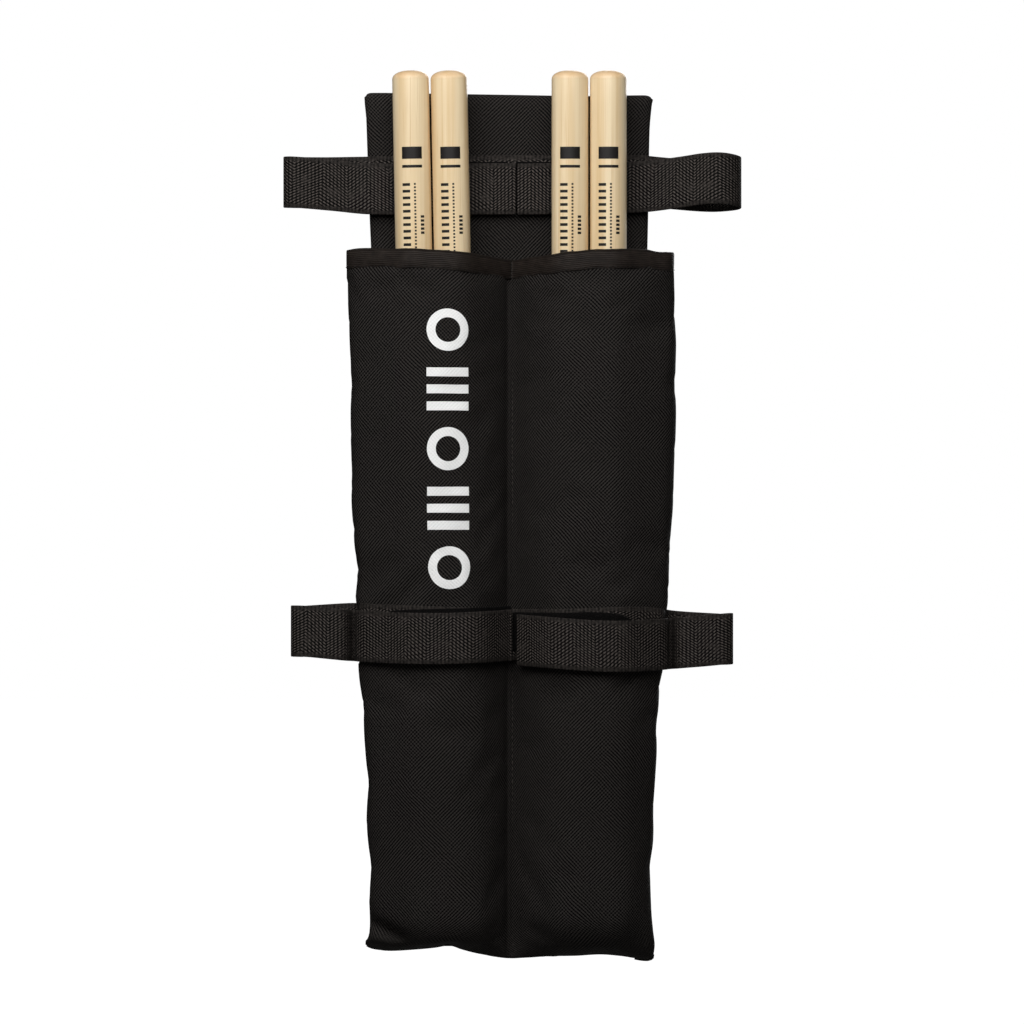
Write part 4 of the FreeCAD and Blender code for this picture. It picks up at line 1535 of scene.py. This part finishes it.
@dataclass
class UpperStrap:
    """The strap sewn across the back panel, with a loop at each side."""

    finishes: Finishes
    face: float = -7.0             # Y of the panel's front
    sewn_end: float = 67.0         # X at which the strap leaves the panel
    stitch_margin: float = 2.0     # from there to the first stitch
    shoulder: float = 79.4         # X of the bends outside the panel
    corner: float = 6.5            # radius of those bends
    fold_y: float = -9.35          # Y of the fold's middle
    # X of the fold's middle, mirrored to the left, and the fold's inside
    fold_x: dict[Side, float] = field(
        default_factory=lambda: {Side.LEFT: -107.0, Side.RIGHT: -102.4})
    fold_radius: dict[Side, float] = field(
        default_factory=lambda: {Side.LEFT: 5.0, Side.RIGHT: 10.0})
    bend: Point = (0.0700, 0.0750)     # X in metres between which a loop would bend when it swings; nothing reads it
    tape_start: float = 2.0        # from the centre
    tape_length: float = 56.0
    # X of the tabs' free ends
    ends: dict[Side, float] = field(default_factory=lambda: {Side.LEFT: 2.0, Side.RIGHT: 2.7})
    # X, height of the strand's middle
    base_rise: Sequence[Point] = ((-70, 385.6), (-30, 385.9), (0, 386.0), (70, 386.0))
    far_rise: dict[Side, Sequence[Point]] = field(default_factory=lambda: {
        Side.LEFT: ((-110, 385.4), (-92, 385.2), (-75, 385.4), (-66, 385.6)),
        Side.RIGHT: ((66, 386.0), (78, 384.8), (94, 383.7), (112, 383.4))})
    near_rise: dict[Side, Sequence[Point]] = field(default_factory=lambda: {
        Side.LEFT: ((-110, 385.4), (-90, 383.9), (-72, 382.1), (-40, 381.9), (0, 382.0)),
        Side.RIGHT: ((0, 381.9), (40, 382.3), (66, 383.2), (84, 385.4), (94, 386.8),
                     (104, 387.3), (112, 386.8))})

    def build(self) -> list[bpy.types.Object]:
        """Makes the sewn strand, both loops with their tabs, the tapes and the stitches."""
        level, half = self.face - BASE_LEVEL, 40
        trace = Trace([(self.sewn_end - self.sewn_end * i / half, level)
                       for i in range(2 * half + 1)])
        base = Strand(trace, rise_by_x(trace, self.base_rise))
        strap = base.build("upper_strap", self.finishes.webbing)
        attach(strap, "bag")
        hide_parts("upper_strap")

        seam = Seam("upper_strap_stitches", pitch=2.9, stitch=1.9)
        base.stitches(seam, self.stitch_margin, trace.length - self.stitch_margin)
        thread = seam.build(self.finishes.thread)
        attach(thread, "bag")
        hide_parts("upper_strap_thread")

        pieces = [strap, thread]
        for side in Side:
            pieces += self.loop(side)
        return pieces

    def loop(self, side: Side) -> list[bpy.types.Object]:
        """Makes one loop with its tab, and the closure tapes behind the tab.

        Args:
            side: The loop. The right one is worked out as the left one and mirrored.

        Returns:
            The webbing, the pile tape and the hook tape.
        """
        sign, body = -side.value, f"upper_{side.word}_loop"
        x, y, radius = self.fold_x[side], self.fold_y, self.fold_radius[side]
        start = (self.ends[side] * sign, self.face, 0.0)
        far = Trace(belt([start, (-self.shoulder, self.face + self.corner, self.corner),
                          (x, y, -radius - WEBBING_THICKNESS)], BASE_LEVEL))
        near = Trace(belt([start, (-self.shoulder, self.face - self.corner, -self.corner),
                           (x, y, radius - FOLD_DROP)], FLAP_LEVEL))
        begin = far.where(-self.sewn_end)
        ring = fold_ring(x, y, radius, far.points[-1], near.points[-1])
        path = Trace([(px * sign, py) for px, py in [
            *far.cut(begin, far.length, 60), *ring, *near.cut(near.length, 0.0, 200)]])
        fold_start = far.length - begin
        fold_end = fold_start + Trace(ring).length

        def rise(distance: float) -> float:
            """The webbing's height, which changes from one strand's to the other's."""
            px = path.read(distance)[0]
            low, high = follow(self.far_rise[side], px), follow(self.near_rise[side], px)
            return low + (high - low) * ease(distance, fold_start, fold_end)

        loop = Strand(path, rise, start=self.sewn_end).build(body + "_webbing",
                                                             self.finishes.webbing)
        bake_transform(loop)
        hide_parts(body, f"upper_{side.word}_tab", f"upper_{side.word}_bend")
        pieces = [loop]
        steps = 30
        for kind, level, heights, finish in (
                ("pile", PILE_LEVEL, self.base_rise, self.finishes.pile),
                ("hook", HOOK_LEVEL, self.near_rise[side], self.finishes.hook)):
            line = Trace([((-self.tape_start - self.tape_length * i / steps) * sign,
                           self.face - level) for i in range(steps + 1)])
            tape = Strand(line, rise_by_x(line, heights), TAPE_WIDTH, TAPE_THICKNESS)
            piece = tape.build(f"upper_{side.word}_{kind}_strip", finish)
            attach(piece, "bag")
            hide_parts(f"upper_{side.word}_{kind}_tape")
            pieces.append(piece)
        return pieces


@dataclass
class Sticks:
    """Two pairs of turned sticks, standing butts up in the pockets."""

    finishes: Finishes
    segments: int = 56
    # distance from the tip, radius
    tip: Sequence[Point] = ((0, 0), (0.25, 1.8), (1.68, 3.98), (4.0, 5.0), (7, 5.3), (10.5, 4.7),
                            (14, 3.7))
    taper: Sequence[Point] = ((14, 3.7), (42, 5.64), (74, 7.7), (105, 9.1))
    dome: float = 4.4              # height of the rounded butt
    shaft_rows: int = 24
    dome_rows: int = 10

    def profile(self) -> list[Point]:
        """Half outline from the tip to the butt."""
        neck, shaft = self.taper[0][0], self.taper[-1][0]
        shoulder = STICK_LENGTH - self.dome
        points = list(self.tip[:3])
        points += [(d, follow(self.tip, d)) for d in (2.8, 4.0, 5.5, 7.0, 8.5, 10.0, 12.0, 13.2)]
        points += [(d, follow(self.taper, d)) for d in range(neck, shaft + 1, 7)]
        points += [(shaft + (shoulder - shaft) * i / self.shaft_rows, STICK_RADIUS)
                   for i in range(1, self.shaft_rows + 1)]
        for i in range(1, self.dome_rows + 1):
            angle = math.pi / 2 / self.dome_rows * i
            # a little fuller than an ellipse, as a sanded butt is
            wide, high = math.cos(angle)**0.86, math.sin(angle)**0.94
            points.append((shoulder + self.dome * high, STICK_RADIUS * max(0.0, wide)))
        return points

    def turn(self, name: str, x: float, lean: float) -> bpy.types.Object:
        """One stick, turned by spinning its outline.

        Args:
            name: Of the CAD node that it stands for.
            x: Of its axis at the butt, mm.
            lean: Its tilt about the butt, radians.

        Returns:
            The stick.
        """
        bm = bmesh.new()
        verts = [bm.verts.new((radius * MM, 0, distance * MM))
                 for distance, radius in self.profile()]
        edges = [bm.edges.new(pair) for pair in zip(verts, verts[1:])]
        bmesh.ops.spin(bm, geom=verts + edges, cent=(0, 0, 0), axis=(0, 0, 1),
                       angle=2 * math.pi, steps=self.segments, use_merge=True)
        bmesh.ops.remove_doubles(bm, verts=bm.verts, dist=1e-6)
        bmesh.ops.recalc_face_normals(bm, faces=bm.faces)
        weave = bm.loops.layers.uv.new("weave")
        for face in bm.faces:
            middle = face.calc_center_median()
            facing = math.atan2(middle.x, -middle.y)
            for loop in face.loops:
                at = loop.vert.co
                angle = math.atan2(at.x, -at.y) if at.xy.length > 1e-5 else facing
                angle += 2 * math.pi * round((facing - angle) / (2 * math.pi))
                loop[weave].uv = (angle * STICK_RADIUS, STICK_LENGTH - at.z / MM)
        butt = place(x, -STICK_DEPTH, BUTT_HEIGHT)
        bmesh.ops.translate(bm, verts=bm.verts, vec=(0, 0, -STICK_LENGTH * MM))
        bmesh.ops.rotate(bm, verts=bm.verts, cent=(0, 0, 0),
                         matrix=Matrix.Rotation(lean, 3, "Y"))
        bmesh.ops.translate(bm, verts=bm.verts, vec=butt)
        stick = link(name + "_turned", bm, self.finishes.wood)
        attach(stick, name)
        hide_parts(name)
        return stick

    def build(self) -> list[bpy.types.Object]:
        """Makes the four sticks."""
        names = ("stick_left_outer", "stick_left_inner", "stick_right_inner",
                 "stick_right_outer")
        return [self.turn(name, x, -LEAN if "left" in name else 0.0)
                for name, x in zip(names, stick_x(BUTT_HEIGHT))]


@dataclass
class BottomAllowance:
    """The turned-in cloth of the bottom seam, one roll in each pocket under the sticks."""

    finishes: Finishes
    pockets: PocketFront
    inner: float = 14.0            # its ends, mm from the centre seam
    outer: float = 57.0
    top: float = 8.1               # above the bottom edge
    front: float = 23.3            # in front of the rear face
    rear: float = 12.5
    thickness: float = 1.5
    clearance: float = 1.6         # to the pocket's outer face
    round_steps: int = 16
    length_steps: int = 40

    def room(self, side: Side, x: float) -> float:
        """Finds how deep a roll may be inside the cloth.

        Args:
            side: The pocket.
            x: Where to look.

        Returns:
            How far in front of the rear face it may reach, mm.
        """
        low = self.top - self.thickness
        row = next(h / 10 for h in range(100) if h / 10 + bottom_rise(x, h / 10) >= low)
        inside = Trace(belt(self.pockets.circles(side, row), -self.clearance))
        return -inside.read(inside.where(-abs(x)))[1]

    def roll(self, side: Side) -> bpy.types.Object:
        """Makes the roll in one pocket.

        Args:
            side: The pocket.

        Returns:
            The roll.
        """
        centre, half = (self.inner + self.outer) / 2, (self.outer - self.inner) / 2

        def shape(column: int, row: int) -> Spot:
            """The roll's grid, which closes at both ends.

            Args:
                column: Counted from the inner end.
                row: Counted from the roll's front.

            Returns:
                Where that point of the grid goes.
            """
            share = 2 * column / self.length_steps - 1
            x = (centre + half * share) * side.value
            angle = 2 * math.pi * row / self.round_steps
            end = math.sqrt(max(0.0, 1 - abs(share)**12))
            front = max(self.rear + 1.0, min(self.front, self.room(side, x)))
            middle, reach = (front + self.rear) / 2, (front - self.rear) / 2
            rise = self.thickness / 2
            return Spot(place(x, -middle + reach * end * math.cos(angle),
                              self.top - rise + rise * end * math.sin(angle)),
                        (x, 2.0 * row))

        roll = cloth_sheet(f"bottom_allowance_{side.word}", self.length_steps, self.round_steps,
                           shape, self.finishes.lining, closed=True)
        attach(roll, "bag")
        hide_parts("bottom_seam_allowance")
        return roll

    def build(self) -> list[bpy.types.Object]:
        """Makes both rolls."""
        return [self.roll(side) for side in Side]


@dataclass(frozen=True)
class Lamp:
    """A square soft lamp."""

    name: str
    at: tuple[float, float, float]     # m
    size: float                        # m
    power: float                       # W


@dataclass
class Studio:
    """White surroundings, plain soft lamps and the camera."""

    distance: float = 6.0          # camera to the plane of the sticks, m
    frame_width: float = 0.507     # what the picture shows there
    target: tuple[float, float, float] = (0.0, -0.02, -0.1632)     # the picture's centre
    sensor: float = 36.0           # mm
    world_level: float = 0.08      # light from all round
    floor_height: float = -0.72    # m
    floor_size: float = 30.0       # m
    floor_tone: float = 0.82       # of the floor, as the camera sees it
    bounce_tone: float = 0.3       # and as the bag sees it
    lamps: Sequence[Lamp] = (
        Lamp("key", (-0.2, -0.7, 0.5), 0.9, 10.8),
        Lamp("fill", (0.4, -1.3, 0.6), 0.9, 4.4),
        Lamp("rear", (0.6, 1.8, 0.25), 1.2, 18.0))

    def hang(self, lamp: Lamp) -> None:
        """Adds a lamp that points at the bag's middle.

        Args:
            lamp: Its place, size and power.
        """
        light = bpy.data.lights.new(lamp.name, "AREA")
        light.shape = "SQUARE"
        light.size = lamp.size
        light.energy = lamp.power
        thing = bpy.data.objects.new(lamp.name, light)
        thing.location = lamp.at
        aim = Vector(self.target) - Vector(lamp.at)
        thing.rotation_mode = "QUATERNION"
        thing.rotation_quaternion = aim.to_track_quat("-Z", "Y")
        bpy.context.scene.collection.objects.link(thing)

    def world(self) -> None:
        """White to the camera, and a plain level of light elsewhere."""
        g = Graph("studio", world=True)
        bpy.context.scene.world = g.owner
        path = g.add("LightPath").node.outputs["Is Camera Ray"]
        plain = g.add("Background", (1, 1, 1, 1), self.world_level)
        white = g.add("Background", (1, 1, 1, 1), 1.0)
        g.add("OutputWorld", g.add("MixShader", path, plain, white))

    def floor(self) -> None:
        """A pale floor that keeps the shadow and melts into the white further out."""
        g = Graph("studio_floor")
        path = g.add("LightPath").node.outputs["Is Camera Ray"]
        spot = g.add("TexCoord").node.outputs["Object"]
        away = g.add("VectorMath", spot, (1, 1, 0), operation="MULTIPLY")
        distance = g.add("VectorMath", away, operation="LENGTH").node.outputs[1]
        # it glows more further out, and so meets the white without an edge
        level = g.add("MapRange", distance, 0.7, 2.6, 0.66, 1.0)
        diffuse = g.add("BsdfDiffuse", named={"Color": (*[self.floor_tone] * 3, 1)})
        dull = g.add("BsdfDiffuse", named={"Color": (*[self.bounce_tone] * 3, 1)})
        glow = g.add("Emission", named={"Color": (1, 1, 1, 1), "Strength": level})
        lit = g.add("AddShader", diffuse, glow)
        material = g.finish(g.add("MixShader", path, dull, lit))
        bm = bmesh.new()
        bmesh.ops.create_grid(bm, x_segments=1, y_segments=1, size=self.floor_size)
        bmesh.ops.translate(bm, verts=bm.verts, vec=(0, 0, self.floor_height))
        link("studio_floor", bm, material)

    def camera(self) -> None:
        """The camera, level and straight in front."""
        camera = bpy.data.cameras.new("camera")
        camera.sensor_width = self.sensor
        camera.lens = self.sensor * self.distance / self.frame_width
        camera.clip_end = 100.0
        thing = bpy.data.objects.new("camera", camera)
        x, y, z = self.target
        thing.location = (x, y - self.distance, z)
        thing.rotation_euler = (math.pi / 2, 0.0, 0.0)
        bpy.context.scene.collection.objects.link(thing)
        bpy.context.scene.camera = thing

    def build(self) -> None:
        """Sets up the whole studio."""
        bpy.context.scene.view_settings.view_transform = "Standard"
        self.world()
        self.floor()
        for lamp in self.lamps:
            self.hang(lamp)
        self.camera()


def main() -> None:
    """Builds the bag and its studio, and reports each piece."""
    logging.basicConfig(level=logging.INFO, format="%(name)s: %(message)s")
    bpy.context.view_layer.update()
    Studio().build()
    finishes = Finishes()
    pockets = PocketFront(finishes)
    parts = (BackPanel(finishes), pockets, LowerStrap(finishes, pockets), UpperStrap(finishes),
             Sticks(finishes), BottomAllowance(finishes, pockets))
    for part in parts:
        for piece in part.build():
            LOG.info("%s: %s, %d faces", type(part).__name__, piece.name,
                     len(piece.data.polygons))


if __name__ == "__main__":
    main()
